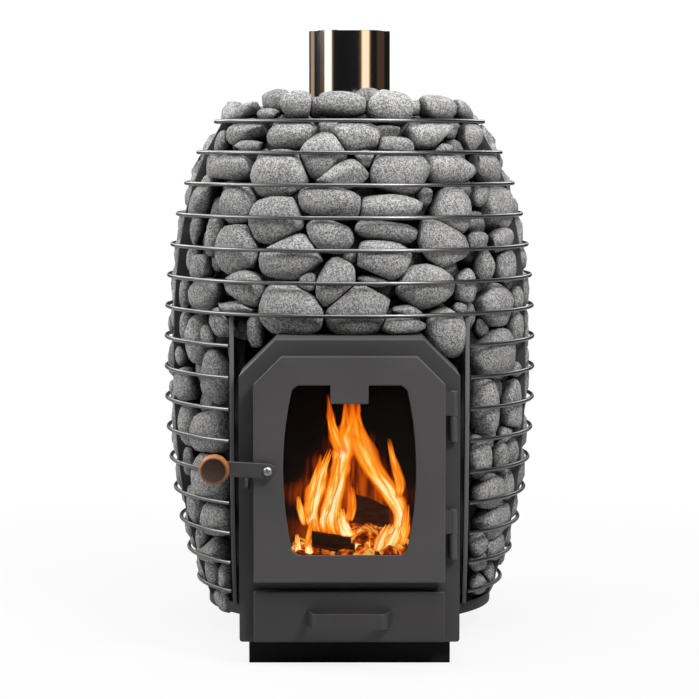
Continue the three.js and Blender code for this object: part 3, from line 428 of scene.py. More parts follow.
BARREL_EASE = 0.0009
LEAF = 0.004
hinge_paint = steel("hinge_grey", (0.050, 0.048, 0.048), (0.040, 0.0385, 0.0385), 0.38)
for where in ("upper", "lower"):
    door_half = f"hinge_{where}_door_half"
    frame_half = f"hinge_{where}_frame_half"
    leaf_low, barrel_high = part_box(door_half)
    pin_low, pin_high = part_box(frame_half)
    barrel = (pin_high.x - pin_low.x) / 2
    axis_x = pin_low.x + barrel
    axis_y = pin_low.y + barrel
    seam = leaf_low.z

    bm = bmesh.new()
    add_rod(bm, barrel, axis_x, axis_y, pin_low.z, seam - 0.0003)
    round_edges(bm, rims(bm, axis_x, axis_y, barrel), BARREL_EASE, 3)
    pin = 0.003
    add_rod(bm, pin, axis_x, axis_y, seam - 0.001, pin_high.z, 20)
    add_piece(f"hinge_{where}_pin", bm, hinge_paint, "stove", [frame_half])

    bm = bmesh.new()
    add_rod(bm, barrel, axis_x, axis_y, seam, barrel_high.z)
    round_edges(bm, rims(bm, axis_x, axis_y, barrel), BARREL_EASE, 3)
    door_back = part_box("door_panel")[1].y
    leaf_from = Vector((leaf_low.x, door_back - LEAF, seam + 0.001))
    leaf_to = Vector((axis_x, door_back, barrel_high.z - 0.001))
    add_block(bm, leaf_from, leaf_to)
    add_piece(f"hinge_{where}_barrel", bm, hinge_paint, "door", [door_half])


# Latch: a flat lever with round ends turns on a cross-head screw through the door, on a short
# bush. A turned wooden knob is pressed in its outer end, and it drops behind a keeper on the frame.
def add_plate(bm, half_height, reach, front, back, ease):
    sides = 64
    outline = bmesh.ops.create_circle(bm, cap_ends=True, segments=sides, radius=half_height)["verts"]
    half_step = Matrix.Rotation(math.pi / sides, 3, "Z")
    bmesh.ops.rotate(bm, verts=outline, matrix=half_step, cent=(0, 0, 0))
    far = [v for v in outline if v.co.x < 0]
    bmesh.ops.translate(bm, verts=far, vec=(-reach, 0, 0))
    bmesh.ops.rotate(bm, verts=outline, matrix=Matrix.Rotation(math.pi / 2, 3, "X"), cent=(0, 0, 0))
    bmesh.ops.translate(bm, verts=outline, vec=(0, front, 0))
    face = bm.faces[:]
    pulled = bmesh.ops.extrude_face_region(bm, geom=face, use_keep_orig=True)["geom"]
    bmesh.ops.translate(
        bm, verts=[v for v in pulled if isinstance(v, bmesh.types.BMVert)], vec=(0, back - front, 0)
    )
    bmesh.ops.recalc_face_normals(bm, faces=bm.faces)
    flat = [e for e in bm.edges if abs(e.verts[0].co.y - e.verts[1].co.y) < 1e-7]
    round_edges(bm, flat, ease, 3)


def spin_round(bm, profile, axis_x, axis_z, from_y, steps):
    line = [bm.verts.new((axis_x + radius, from_y - ahead, axis_z)) for radius, ahead in profile]
    edges = [bm.edges.new(pair) for pair in zip(line, line[1:])]
    bmesh.ops.spin(
        bm, geom=line + edges, cent=(axis_x, 0, axis_z), axis=(0, 1, 0), angle=2 * math.pi,
        steps=steps, use_merge=True,
    )
    bmesh.ops.remove_doubles(bm, verts=bm.verts, dist=0.00001)


LEVER_TILT = math.radians(3.5)
LEVER_REACH = 0.069
LEVER_HALF = 0.0098
screw_low, screw_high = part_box("latch_screw")
lever_low, lever_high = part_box("latch_lever")
pivot_x = (screw_low.x + screw_high.x) / 2
pivot_z = (screw_low.z + screw_high.z) / 2
bm = bmesh.new()
add_plate(bm, LEVER_HALF, LEVER_REACH, lever_low.y, lever_high.y, 0.0009)
bmesh.ops.rotate(bm, verts=bm.verts, matrix=Matrix.Rotation(LEVER_TILT, 3, "Y"), cent=(0, 0, 0))
bmesh.ops.translate(bm, verts=bm.verts, vec=(pivot_x, 0, pivot_z))
lever_paint = steel("lever_grey", (0.037, 0.0353, 0.0353), (0.031, 0.0294, 0.0294), 0.42)
add_piece("latch_arm", bm, lever_paint, "latch", ["latch_lever"])

HEAD_RADIUS = (screw_high.x - screw_low.x) / 2
HEAD_BACK = lever_low.y - 0.0003
HEAD_RISE = HEAD_BACK - screw_low.y
CROSS_HALF = 0.0007
CROSS_REACH = 0.0034
CROSS_DEPTH = 0.0018
dome = [(HEAD_RADIUS * math.sin(math.radians(a)), HEAD_RISE * math.cos(math.radians(a)))
        for a in range(90, 20, -10)]
flat_top = dome[-1][1]
bm = bmesh.new()
shank = [(0.0, HEAD_BACK - screw_high.y), (0.003, HEAD_BACK - screw_high.y), (0.003, 0.0)]
spin_round(bm, [*shank, *dome], pivot_x, pivot_z, HEAD_BACK, 40)
bmesh.ops.holes_fill(bm, edges=[e for e in bm.edges if e.is_boundary])
for line in (-CROSS_HALF, CROSS_HALF, -CROSS_REACH, CROSS_REACH):
    for point, normal in (((pivot_x + line, 0, 0), (1, 0, 0)), ((0, 0, pivot_z + line), (0, 0, 1))):
        cap = [f for f in bm.faces if all(abs(v.co.y - HEAD_BACK + flat_top) < 1e-6 for v in f.verts)]
        parts = set(cap)
        for f in cap:
            parts.update(f.edges)
            parts.update(f.verts)
        bmesh.ops.bisect_plane(bm, geom=list(parts), plane_co=point, plane_no=normal)


def in_cross(face):
    middle = face.calc_center_median()
    across = abs(middle.x - pivot_x)
    up = abs(middle.z - pivot_z)
    on_top = all(abs(v.co.y - HEAD_BACK + flat_top) < 1e-6 for v in face.verts)
    return on_top and min(across, up) < CROSS_HALF and max(across, up) < CROSS_REACH


draw_out(bm, [f for f in bm.faces if in_cross(f)], Vector((0, CROSS_DEPTH, 0)))
add_piece("latch_pivot", bm, bare_steel, "latch", ["latch_screw"])
dress(bare_steel, 0.0005, "latch_bush")
dress(body_paint, 0.0006, "latch_keeper")

KNOB_BELLY = 0.0198
KNOB_RIM = 0.0176
KNOB_FACE = 0.0158
KNOB_BACK = 0.0150
KNOB_DISH = 0.0012
TENON = 0.004
ROLL = 0.0016
knob_low, knob_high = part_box("latch_knob")
knob_x = pivot_x - LEVER_REACH * math.cos(LEVER_TILT)
knob_z = pivot_z + LEVER_REACH * math.sin(LEVER_TILT)
knob_length = lever_low.y - 0.0003 - knob_low.y


def knob_side(share):
    end = KNOB_BACK if share < 0.5 else KNOB_RIM
    return end + (KNOB_BELLY - end) * math.sin(math.pi * share) ** 0.7


barrel = [(knob_side(i / 16), (knob_length - ROLL) * i / 16) for i in range(17)]
rolled_edge = [
    (KNOB_RIM - ROLL + ROLL * math.cos(math.radians(a)),
     knob_length - ROLL + ROLL * math.sin(math.radians(a)))
    for a in range(15, 100, 15)
]
lip = [(KNOB_FACE, knob_length), (KNOB_FACE - 0.0005, knob_length - 0.0003)]
dished = [(KNOB_FACE - 0.0012, knob_length - KNOB_DISH), (0.0, knob_length - KNOB_DISH)]
tenon_end = lever_low.y - knob_high.y - 0.0003
root = [(0.0, tenon_end), (TENON, tenon_end), (TENON, 0.0)]
bm = bmesh.new()
spin_round(bm, [*root, *barrel, *rolled_edge, *lip, *dished], knob_x, knob_z, lever_low.y - 0.0003, 64)


def knob_wood(pale, dark, bare_pale, bare_dark):
    made, paint = new_material("knob_wood")
    place = paint.node("ShaderNodeTexCoord", output="Object")
    flat = place.stretched((1.0, 0.0, 1.0))
    out = place.node(
        "ShaderNodeVectorMath", {"operation": "DISTANCE"}, {0: flat, 1: (knob_x, 0.0, knob_z)}, "Value"
    )
    fibre = place.stretched((1.0, 0.35, 6.0)).noise(190.0, 4.0)
    pore = place.stretched((1.0, 0.4, 5.0)).noise(620.0, 2.0)
    grain = (fibre * 0.7 + pore * 0.3).ramp(0.3, 0.7)
    ahead = 0.0 - place.axis("Y")
    front = ahead.ramp(-knob_low.y - 0.0040, -knob_low.y - 0.0025)
    in_dish = (KNOB_FACE - out).ramp(-0.0002, 0.0010) * front
    turned = grain.mix(dark, pale)
    seared = front * (1.0 - out.ramp(KNOB_RIM - 0.0006, KNOB_RIM)) * 0.5
    ring = seared.mix(turned, bare_pale)
    paint.surface({
        "Base Color": in_dish.mix(ring, grain.mix(bare_dark, bare_pale)),
        "Roughness": 0.62 - 0.15 * grain + 0.18 * in_dish,
        "Specular IOR Level": 0.25,
        "Normal": (fibre + pore * 0.5).bump(0.0002),
    })
    return made


WAXED = (0.30, 0.115, 0.036)
WAXED_GRAIN = (0.20, 0.071, 0.022)
BARE = (0.036, 0.0185, 0.0110)
BARE_GRAIN = (0.017, 0.011, 0.009)
knob_material = knob_wood(WAXED, WAXED_GRAIN, BARE, BARE_GRAIN)
add_piece("latch_grip", bm, knob_material, "latch", ["latch_knob"], crease=60.0)


# Flue pipe: a rolled and polished stainless tube that slips over the collar on the firebox and
# rises through the stones. Its finish keeps fine lines along the pipe.
def polished_steel(bright, dull):
    made, paint = new_material("polished_steel")
    place = paint.node("ShaderNodeTexCoord", output="Object")
    lines = place.stretched((1.0, 1.0, 0.01)).noise(900.0, 3.0)
    smear = place.stretched((1.0, 1.0, 0.4)).noise(14.0, 3.0)
    paint.surface({
        "Base Color": (lines * 0.6 + smear * 0.4).ramp(0.3, 0.7).mix(dull, bright),
        "Roughness": 0.05 + lines * 0.05 + smear * 0.05,
        "Metallic": 1.0,
        "Normal": lines.bump(0.000004),
    })
    return made


FLUE_WALL = 0.002
FLUE_EASE = 0.0002
flue_low, flue_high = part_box("flue_pipe")
bm = bmesh.new()
wall_loop = [
    (flue_high.x - FLUE_WALL, flue_low.z), (flue_high.x, flue_low.z),
    (flue_high.x, flue_high.z - FLUE_EASE), (flue_high.x - FLUE_EASE, flue_high.z),
    (flue_high.x - FLUE_WALL, flue_high.z),
]
corners = [bm.verts.new((radius, 0, height)) for radius, height in wall_loop]
rim = [bm.edges.new(pair) for pair in zip(corners, corners[1:] + corners[:1])]
bmesh.ops.spin(
    bm, geom=corners + rim, cent=(0, 0, 0), axis=(0, 0, 1), angle=2 * math.pi, steps=128,
    use_merge=True,
)
bmesh.ops.remove_doubles(bm, verts=bm.verts, dist=0.00001)
flue_material = polished_steel((0.74, 0.73, 0.72), (0.66, 0.65, 0.645))
add_piece("flue_tube", bm, flue_material, "stove", ["flue_pipe"])


# Ribs and posts: flat bars bent to the egg shape and set on edge inside the hoops, and two posts
# beside the door where the lower hoops end. All are hot-rolled bar with a thin grey paint. The posts
# are coloured light on their front faces, a painted highlight, and near black on their sides, painted shade.
rib_paint = steel("rib_grey", (0.084, 0.083, 0.085), (0.060, 0.059, 0.061), 0.46, metallic=0.2)
dress(rib_paint, 0.0006, "rib_front_left", "rib_front_right", "rib_rear_left", "rib_rear_right")


def painted_light_bar(clean, painted_shade):
    made, paint = new_material("post_steel")
    place = paint.node("ShaderNodeTexCoord", output="Object")
    bare = paint.node("ShaderNodeAttribute", {"attribute_name": "bare"}, output="Fac")
    fine = place.noise(900.0, 3.0)
    cloud = place.noise(24.0, 3.0)
    # painted highlight on the marked front faces, painted shade on the others
    wear_and_painted_light = bare * (0.75 + 0.5 * cloud)
    paint.surface({
        "Base Color": wear_and_painted_light.mix(painted_shade, clean),
        "Roughness": 0.58 - 0.14 * cloud,
        "Specular IOR Level": 0.15,
        "Normal": fine.bump(0.00012),
    })
    return made


POST_EDGE = 0.0008
post_material = painted_light_bar((0.122, 0.121, 0.122), (0.007, 0.007, 0.0074))
for name in ("post_left", "post_right"):
    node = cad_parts[name]
    bm = bmesh.new()
    bm.from_mesh(node.data)
    bm.transform(node.matrix_world)
    bmesh.ops.remove_doubles(bm, verts=bm.verts, dist=0.00002)
    bmesh.ops.dissolve_limit(bm, angle_limit=math.radians(0.5), verts=bm.verts, edges=bm.edges)
    sharp = [e for e in bm.edges if e.calc_face_angle(0.0) > math.radians(35)]
    bmesh.ops.bevel(
        bm, geom=sharp, offset=POST_EDGE, offset_type="OFFSET", affect="EDGES", segments=2,
        profile=0.5, material=-1, clamp_overlap=True,
    )
    bm.normal_update()
    # Front faces are marked for the painted highlight; the other faces take painted shade.
    bare = bm.faces.layers.float.new("bare")
    for face in bm.faces:
        face[bare] = 1.0 if face.normal.y < -0.35 else 0.0
    add_piece(f"{name}_bar", bm, post_material, "stove", [name])


# Hoops: sixteen rings of 6 mm round rod that make the egg-shaped basket. The upper seven are whole
# and the lower nine end at the posts. Each is welded to every rib with a small bright bead.
Hoop = namedtuple("Hoop", "number height radius")
ROD_RADIUS = 0.0028
ROD_SIDES = 12
RING_STEPS = 132
HOOP_COUNT = 16
WHOLE_HOOPS = 7
CAD_ROD_REACH = 0.00243
BEAD_RADIUS = 0.0021
hoop_steel = steel(
    "hoop_steel", (0.17, 0.17, 0.174), (0.10, 0.10, 0.104), 0.32, metallic=1.0, grain=1400.0
)
post_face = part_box("post_right")[1].x + 0.0003
hoops = []
for number in range(1, HOOP_COUNT + 1):
    low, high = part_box(f"hoop_{number:02d}")
    hoops.append(Hoop(number, (low.z + high.z) / 2, high.x - CAD_ROD_REACH))

for hoop in hoops:
    whole = hoop.number <= WHOLE_HOOPS
    gap = 0.0 if whole else math.asin(post_face / hoop.radius)
    bm = bmesh.new()
    stand = Matrix.Rotation(math.pi / 2, 4, "Y")
    bmesh.ops.create_circle(
        bm, segments=ROD_SIDES, radius=ROD_RADIUS,
        matrix=Matrix.Translation((0, -hoop.radius, hoop.height)) @ stand,
    )
    bmesh.ops.rotate(bm, verts=bm.verts, matrix=Matrix.Rotation(gap, 3, "Z"), cent=(0, 0, 0))
    bmesh.ops.spin(
        bm, geom=bm.verts[:] + bm.edges[:], cent=(0, 0, 0), axis=(0, 0, 1),
        angle=2 * (math.pi - gap), steps=RING_STEPS, use_merge=whole,
    )
    bmesh.ops.remove_doubles(bm, verts=bm.verts, dist=0.00001)
    if not whole:
        bmesh.ops.holes_fill(bm, edges=[e for e in bm.edges if e.is_boundary])
    node = f"hoop_{hoop.number:02d}"
    add_piece(f"rod_{hoop.number:02d}", bm, hoop_steel, "stove", [node], crease=60.0)

FRONT_RIB = math.radians(73.5)
REAR_RIB = math.radians(144.5)
bm = bmesh.new()
for hoop in hoops:
    spots = [side * turn for side in (-1, 1) for turn in (FRONT_RIB, REAR_RIB)]
    for turn in spots:
        reach = hoop.radius - ROD_RADIUS - 0.0003
        at = Vector((reach * math.sin(turn), -reach * math.cos(turn), hoop.height - ROD_RADIUS))
        bmesh.ops.create_icosphere(
            bm, subdivisions=2, radius=BEAD_RADIUS, matrix=Matrix.Translation(at)
        )
weld_steel = steel("weld_steel", (0.62, 0.61, 0.60), (0.38, 0.37, 0.37), 0.34, metallic=0.8)
add_piece("weld_beads", bm, weld_steel, "stove", crease=80.0)


# Stones: smooth grey sauna stones that fill the basket and heap up round the flue. They are loose,
# held by the hoops, and grouped here as the basket's ribs part them.
Stone = namedtuple("Stone", "across down half_width half_height lean back")
CAMERA_PLACE = Vector((0.0, -3.5165, 0.6824))
CAMERA_PITCH = math.radians(4.748)
FOCAL_PIXELS = 2449.4
IMAGE_MIDDLE = 349.5
SIGHT_RIGHT = Vector((1, 0, 0))
SIGHT_AHEAD = Vector((0, math.cos(CAMERA_PITCH), -math.sin(CAMERA_PITCH)))
SIGHT_UP = SIGHT_RIGHT.cross(SIGHT_AHEAD)

# Front stones: middle, half width and half height in the picture, lean in degrees, and how
# many millimetres a stone lies behind its neighbours
CROWN_STONES = [
    Stone(277, 103, 16, 12.5, 0, 22), Stone(298, 105.5, 17, 13.5, 0, 0), Stone(245, 113.5, 19, 8, 12, 0),
    Stone(268, 115, 12, 6, 0, 12), Stone(317, 108, 10, 10, 0, 20), Stone(341, 105, 26, 12.5, 0, 0),
    Stone(368, 99, 13, 10, 0, 24), Stone(389, 109, 24.5, 17, 0, 0), Stone(413, 108, 10, 8, 0, 20),
    Stone(434, 108.5, 23, 12, -5, 0), Stone(464, 113, 13, 9, -12, 0),
]
STONES_UNDER_HOOP_1 = [
    Stone(221, 143, 9, 8, 35, 6), Stone(249, 133, 19.5, 12, 8, 0), Stone(249, 147, 16, 6, 0, 8),
    Stone(293.5, 135, 23, 13.3, 0, 0), Stone(331, 130, 11, 9, 0, 20), Stone(357, 137, 22, 14, -10, 0),
    Stone(325, 157.5, 22.5, 21, -10, 0), Stone(386, 132, 14, 7, 0, 26),
    Stone(428, 135.5, 28, 12.5, -3, 0), Stone(395, 146, 18, 8, 0, 10), Stone(469, 138, 13, 13, 20, 0),
    Stone(442, 149, 10, 5, 0, 12), Stone(364, 159, 9, 8, 0, 10),
]
STONES_UNDER_HOOP_2 = [
    Stone(206, 168, 10, 14, 0, 10), Stone(236, 167, 23, 13.5, 10, 0), Stone(281, 176, 26.5, 23, 0, 0),
    Stone(343, 176, 27, 12, 20, 4), Stone(397, 174, 29.5, 20, 0, 0), Stone(447.5, 169, 26, 15.5, -8, 0),
    Stone(484, 169, 20, 14, -10, 0),
]
STONES_UNDER_HOOP_3 = [
    Stone(203, 200, 17, 10, 38, 0), Stone(239.5, 205, 18, 19, 0, 0), Stone(333.5, 202, 34.5, 14, 0, 0),
    Stone(387, 207, 34, 11, 8, 0), Stone(450, 212, 19.5, 22, -5, 0), Stone(493, 211, 22.5, 21, 0, 0),
    Stone(424, 197, 8, 8, 0, 22), Stone(277.5, 221, 24, 22, 10, 0),
]
STONES_UNDER_HOOP_4 = [
    Stone(197, 231, 6, 13, -5, 6), Stone(194, 260, 7, 11, 0, 6), Stone(217, 238, 11, 20, -10, 2),
    Stone(239, 251, 22, 25, 0, 0), Stone(293, 258, 35, 20, 6, 0), Stone(330, 236, 22, 15, -25, 0),
    Stone(384, 231, 34, 10, -4, 8), Stone(382, 260, 27, 17, -5, 0), Stone(441, 247, 31, 22, -35, 0),
    Stone(477, 241, 10.5, 8, 0, 4), Stone(500, 240, 13, 10, 10, 0),
]
STONES_UNDER_HOOP_5 = [
    Stone(203, 267, 13, 11, 0, 6), Stone(335, 283, 15.5, 24, -28, 0), Stone(308, 282, 8, 8, 0, 10),
    Stone(484, 266, 10, 13.5, -10, 0), Stone(503.5, 266, 11.5, 14.5, 0, 0),
    Stone(464, 287, 11.5, 17, 0, 0), Stone(422, 286, 29.5, 19.5, 0, 0), Stone(350, 257, 8, 6, 0, 20),
    Stone(446, 266, 9, 8, 0, 22),
]
STONES_UNDER_HOOP_6 = [
    Stone(185, 294, 6, 14, 0, 4), Stone(207, 294.5, 17, 14, 0, 0), Stone(246, 289, 17.5, 17, -20, 0),
    Stone(237, 308, 22, 6, 0, 4), Stone(294, 310, 32, 23.5, -6, 0), Stone(358, 310, 31, 23.5, 6, 0),
    Stone(373, 281, 14, 5, 0, 12), Stone(490.5, 306, 23.5, 20, -8, 0), Stone(406, 312, 14, 6, 0, 10),
    Stone(459, 308, 6, 6, 0, 10), Stone(506, 284, 6, 5, 0, 10),
]
STONES_OVER_FRAME = [
    Stone(256.5, 330, 8, 15, 8, 12), Stone(243, 330, 9, 10, 0, 26), Stone(402, 325.5, 20.5, 8.5, 10, 0),
    Stone(446, 331.5, 19.5, 23.5, 10, 0),
]
STONES_LOWER_LEFT = [
    Stone(182, 327, 7, 14, 0, 6), Stone(202, 340, 16.5, 24, 8, 0), Stone(224, 322, 12.5, 13, 0, 0),
    Stone(221, 374, 17.5, 28, -22, 0), Stone(187.5, 384, 13.5, 15, 0, 0), Stone(237, 352, 7, 15, 0, 20),
    Stone(188, 424, 13, 20.5, 12, 0), Stone(212, 431, 20.5, 20, 0, 0), Stone(189, 461, 6.5, 13.5, 0, 2),
    Stone(213, 477, 20, 23, 0, 0), Stone(193.5, 502, 10.5, 19, 10, 2), Stone(217.5, 518, 16, 16, 0, 0),
    Stone(213.5, 546, 20.5, 15.5, 0, 0), Stone(196, 536, 7, 13, -25, 4), Stone(207.5, 571, 9, 16, 25, 0),
    Stone(226.5, 578, 6.5, 14, 0, 0), Stone(224, 600, 9, 8, -25, 2),
]
STONES_LOWER_RIGHT = [
    Stone(514, 327, 8.5, 14, 0, 0),
    Stone(491.5, 353, 23.5, 23.5, 0, 0), Stone(483, 407.5, 15.5, 28, 0, 0),
    Stone(511, 405, 11.5, 25, 10, 0), Stone(504, 434, 8, 8, 20, 10),
    Stone(479.5, 457, 11, 13.5, 0, 0), Stone(499.5, 456, 9.5, 13.5, 0, 0),
    Stone(516, 451, 9, 13, 10, 2), Stone(487.5, 490, 17, 16, 0, 0), Stone(510, 484, 8.5, 14, 10, 2),
    Stone(489.5, 519, 21, 16.5, 0, 0), Stone(497.5, 545, 13.5, 13.5, 0, 0),
    Stone(477.5, 543, 9, 10, 30, 4), Stone(477, 561, 9, 9, 0, 4), Stone(478, 581, 10, 11, 0, 2),
    Stone(494, 572, 7, 11, 0, 2),
]
FRONT_STONES = [
    *CROWN_STONES, *STONES_UNDER_HOOP_1, *STONES_UNDER_HOOP_2, *STONES_UNDER_HOOP_3,
    *STONES_UNDER_HOOP_4, *STONES_UNDER_HOOP_5, *STONES_UNDER_HOOP_6, *STONES_OVER_FRAME,
    *STONES_LOWER_LEFT, *STONES_LOWER_RIGHT,
]


Pebble = namedtuple("Pebble", "middle axes halves shade fine")
UP = Vector((0, 0, 1))
GROWTH = 1.19
FRONT_LIMIT = math.radians(68)
GAP = 0.0028
CLEAR = 0.0006
RIB_HALF = 0.003
RIB_REACH = 0.024
CHAMFER = 0.048
body_low, body_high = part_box("firebox_shell")
post_low, post_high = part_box("post_right")
flue_clear = flue_high.x + CLEAR


def basket_radius(height):
    below = next((i for i, hoop in enumerate(hoops) if hoop.height <= height), HOOP_COUNT - 1)
    low = hoops[max(1, below)]
    high = hoops[low.number - 2]
    share = (height - low.height) / (high.height - low.height)
    return low.radius + share * (high.radius - low.radius)


def farthest_out(height, tall, thick):
    """How far from the axis a stone's middle may lie so that the stone stays inside the rods."""
    limits = [basket_radius(height) - thick - CLEAR]
    for hoop in hoops:
        rise = (hoop.height - height) / tall
        if abs(rise) < 1:
            limits.append(hoop.radius - ROD_RADIUS - CLEAR - thick * math.sqrt(1 - rise * rise))
    return min(limits)


def outward(turn):
    return Vector((math.sin(turn), -math.cos(turn), 0))


def sideways(turn):
    return Vector((math.cos(turn), math.sin(turn), 0))


def laid(turn, lean):
    """The three axes of a stone that lies against the basket, leaning by some degrees."""
    tip = math.radians(lean)
    along = math.cos(tip) * sideways(turn) + math.sin(tip) * UP
    across = math.cos(tip) * UP - math.sin(tip) * sideways(turn)
    return along, across, outward(turn)


def sight_line(across, down):
    right = (across - IMAGE_MIDDLE) / FOCAL_PIXELS
    up = (IMAGE_MIDDLE - down) / FOCAL_PIXELS
    return SIGHT_AHEAD + right * SIGHT_RIGHT + up * SIGHT_UP


def seat_in_view(stone, shade):
    """A front stone that lies against the hoops where it is seen."""
    line = sight_line(stone.across, stone.down)
    best = None
    for step in range(320):
        reach = 3.20 + 0.002 * step
        middle = CAMERA_PLACE + reach * line
        turn = math.atan2(middle.x, -middle.y)
        if abs(turn) > FRONT_LIMIT:
            break
        wide = stone.half_width * reach / FOCAL_PIXELS
        tall = stone.half_height * reach / FOCAL_PIXELS
        thick = max(0.010, min(0.024, 0.42 * (wide + tall)))
        thick = min(thick, max(0.009, wide / max(0.3, abs(math.sin(turn)))))
        spare = farthest_out(middle.z, tall, thick) - 0.001 * stone.back - middle.xy.length
        if best is None or spare > best[0]:
            best = (spare, middle, turn, wide, tall, thick)
        if spare >= 0:
            break
    spare, middle, turn, wide, tall, thick = best
    if spare < 0:
        middle = middle + spare * outward(turn)
    shown = max(0.45 * wide, math.sqrt(max(0.0, wide ** 2 - (thick * math.sin(turn)) ** 2)))
    length = max(0.009, min(0.042, shown / max(0.4, math.cos(turn))))
    fine = 3 if stone.half_width * stone.half_height > 60 else 2
    lean = stone.lean + draw.uniform(-8, 8)
    return Pebble(middle, laid(turn, lean), (length, tall, thick), shade, fine)


def support(pebble, way):
    return math.sqrt(sum((half * way.dot(axis)) ** 2 for half, axis in zip(pebble.halves, pebble.axes)))


def contacts(pebble, others):
    """The flat faces where a stone meets its neighbours: a direction and a distance for each."""
    faces = []
    reach = max(pebble.halves)
    for other in others:
        apart = other.middle - pebble.middle
        distance = apart.length
        if 0 < distance < GROWTH * (reach + max(other.halves)):
            way = apart / distance
            own = support(pebble, way)
            faces.append((way, distance * own / (own + support(other, way)) - GAP / 2))
    return faces


def keep_clear(point, middle):
    """A stone's point moved clear of the ribs, the firebox, the posts, the flue and the hoops."""
    for turn in (FRONT_RIB, -FRONT_RIB, REAR_RIB, -REAR_RIB):
        off = middle.dot(sideways(turn))
        beside = middle.dot(outward(turn)) > 0 and abs(off) < 0.07
        if beside and point.dot(outward(turn)) > basket_radius(point.z) - RIB_REACH:
            side = math.copysign(1.0, off)
            lack = RIB_HALF + CLEAR - side * point.dot(sideways(turn))
            point = point + max(0.0, lack) * side * sideways(turn)
    if middle.z > LOWER_TOP:
        slope = max(0.0, abs(point.x) - body_high.x + CHAMFER)
        if abs(point.x) < body_high.x and point.y < body_high.y:
            point.z = max(point.z, body_high.z + CLEAR - slope)
        inner = point.xy.length
        if inner < flue_clear:
            point.xy = point.xy * (flue_clear / inner)
    elif abs(middle.x) > body_high.x:
        wall = post_high.x if point.y < post_high.y + CLEAR else body_high.x
        point.x = math.copysign(max(abs(point.x), wall + CLEAR), middle.x)
    else:
        point.y = max(point.y, body_high.y + CLEAR)
    near = min(abs(hoop.height - point.z) for hoop in hoops)
    limit = basket_radius(point.z) - ROD_RADIUS - CLEAR + min(0.007, 0.6 * max(0.0, near - 0.003))
    out = point.xy.length
    if out > limit:
        point.xy = point.xy * (limit / out)
    return point


def add_stone(bm, tone, pebble, faces, draw):
    """A pebble: a ball made blunt, flattened on a few faces and where it meets its neighbours.

    Its tone falls off towards the sides that face away from the open air: painted shade.
    """
    drift = Vector((draw.uniform(-50, 50), draw.uniform(-50, 50), draw.uniform(-50, 50)))
    flats = []
    for _ in range(4):
        way = Vector((draw.gauss(0, 1), draw.gauss(0, 1), draw.gauss(0, 0.7))).normalized()
        flats.append((way, draw.uniform(0.84, 1.02)))
    turn = math.atan2(pebble.middle.x, -pebble.middle.y)
    in_crown = pebble.middle.z > hoops[0].height - 0.012
    blunt = 2.15 if in_crown else draw.uniform(2.1, 2.8)
    growth = 1.13 if in_crown else GROWTH
    open_way = (outward(turn) + UP).normalized() if in_crown else outward(turn)
    ball = bmesh.ops.create_icosphere(bm, subdivisions=pebble.fine, radius=1.0)["verts"]
    for vert in ball:
        # painted shade: the tone darkens where the stone faces away from the open air
        facing = sum((c * a for c, a in zip(vert.co, pebble.axes)), Vector()).dot(open_way)
        bare = 0.10 + 0.90 * max(0.0, min(1.0, 0.36 + 1.2 * facing))
        point = vert.co * sum(abs(c) ** blunt for c in vert.co) ** (-1 / blunt)
        for way, limit in flats:
            point = point - 0.85 * max(0.0, point.dot(way) - limit) * way
        point = point * (1.0 + 0.06 * noise.noise(1.4 * point + drift))
        grown = (growth * point.x, growth * point.y, point.z)
        offset = sum((h * c * a for h, c, a in zip(pebble.halves, grown, pebble.axes)), Vector())
        for way, limit in faces:
            offset = offset - 0.93 * max(0.0, offset.dot(way) - limit) * way
        vert.co = keep_clear(pebble.middle + offset, pebble.middle)
        vert[tone] = pebble.shade * bare


def stone_group(middle):
    turn = math.atan2(middle.x, -middle.y)
    side = "left" if turn < 0 else "right"
    if middle.z < LOWER_TOP:
        return "stones_lower_rear" if abs(turn) > REAR_RIB else f"stones_lower_{side}"
    if abs(turn) < FRONT_RIB:
        return f"stones_upper_front_{side}"
    return "stones_upper_rear" if abs(turn) > REAR_RIB else f"stones_upper_{side}"


LOWER_TOP = body_high.z - CHAMFER / 2
STONE_GROUPS = [name for name in sorted(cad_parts) if name.startswith("stones_")]
draw = random.Random(11)
# A front stone that lies behind its neighbours is coloured darker by its depth: painted shade.
pebbles = [seat_in_view(stone, draw.uniform(0.84, 1.12) - 0.010 * stone.back) for stone in FRONT_STONES]



def has_room(pebble, overlap):
    """Whether a stone fits between those already laid, with a little overlap to be worn flat."""
    for other in pebbles:
        apart = other.middle - pebble.middle
        if apart.length < max(pebble.halves) + max(other.halves):
            way = apart.normalized()
            if apart.length < overlap * (support(pebble, way) + support(other, way)):
                return False
    return True


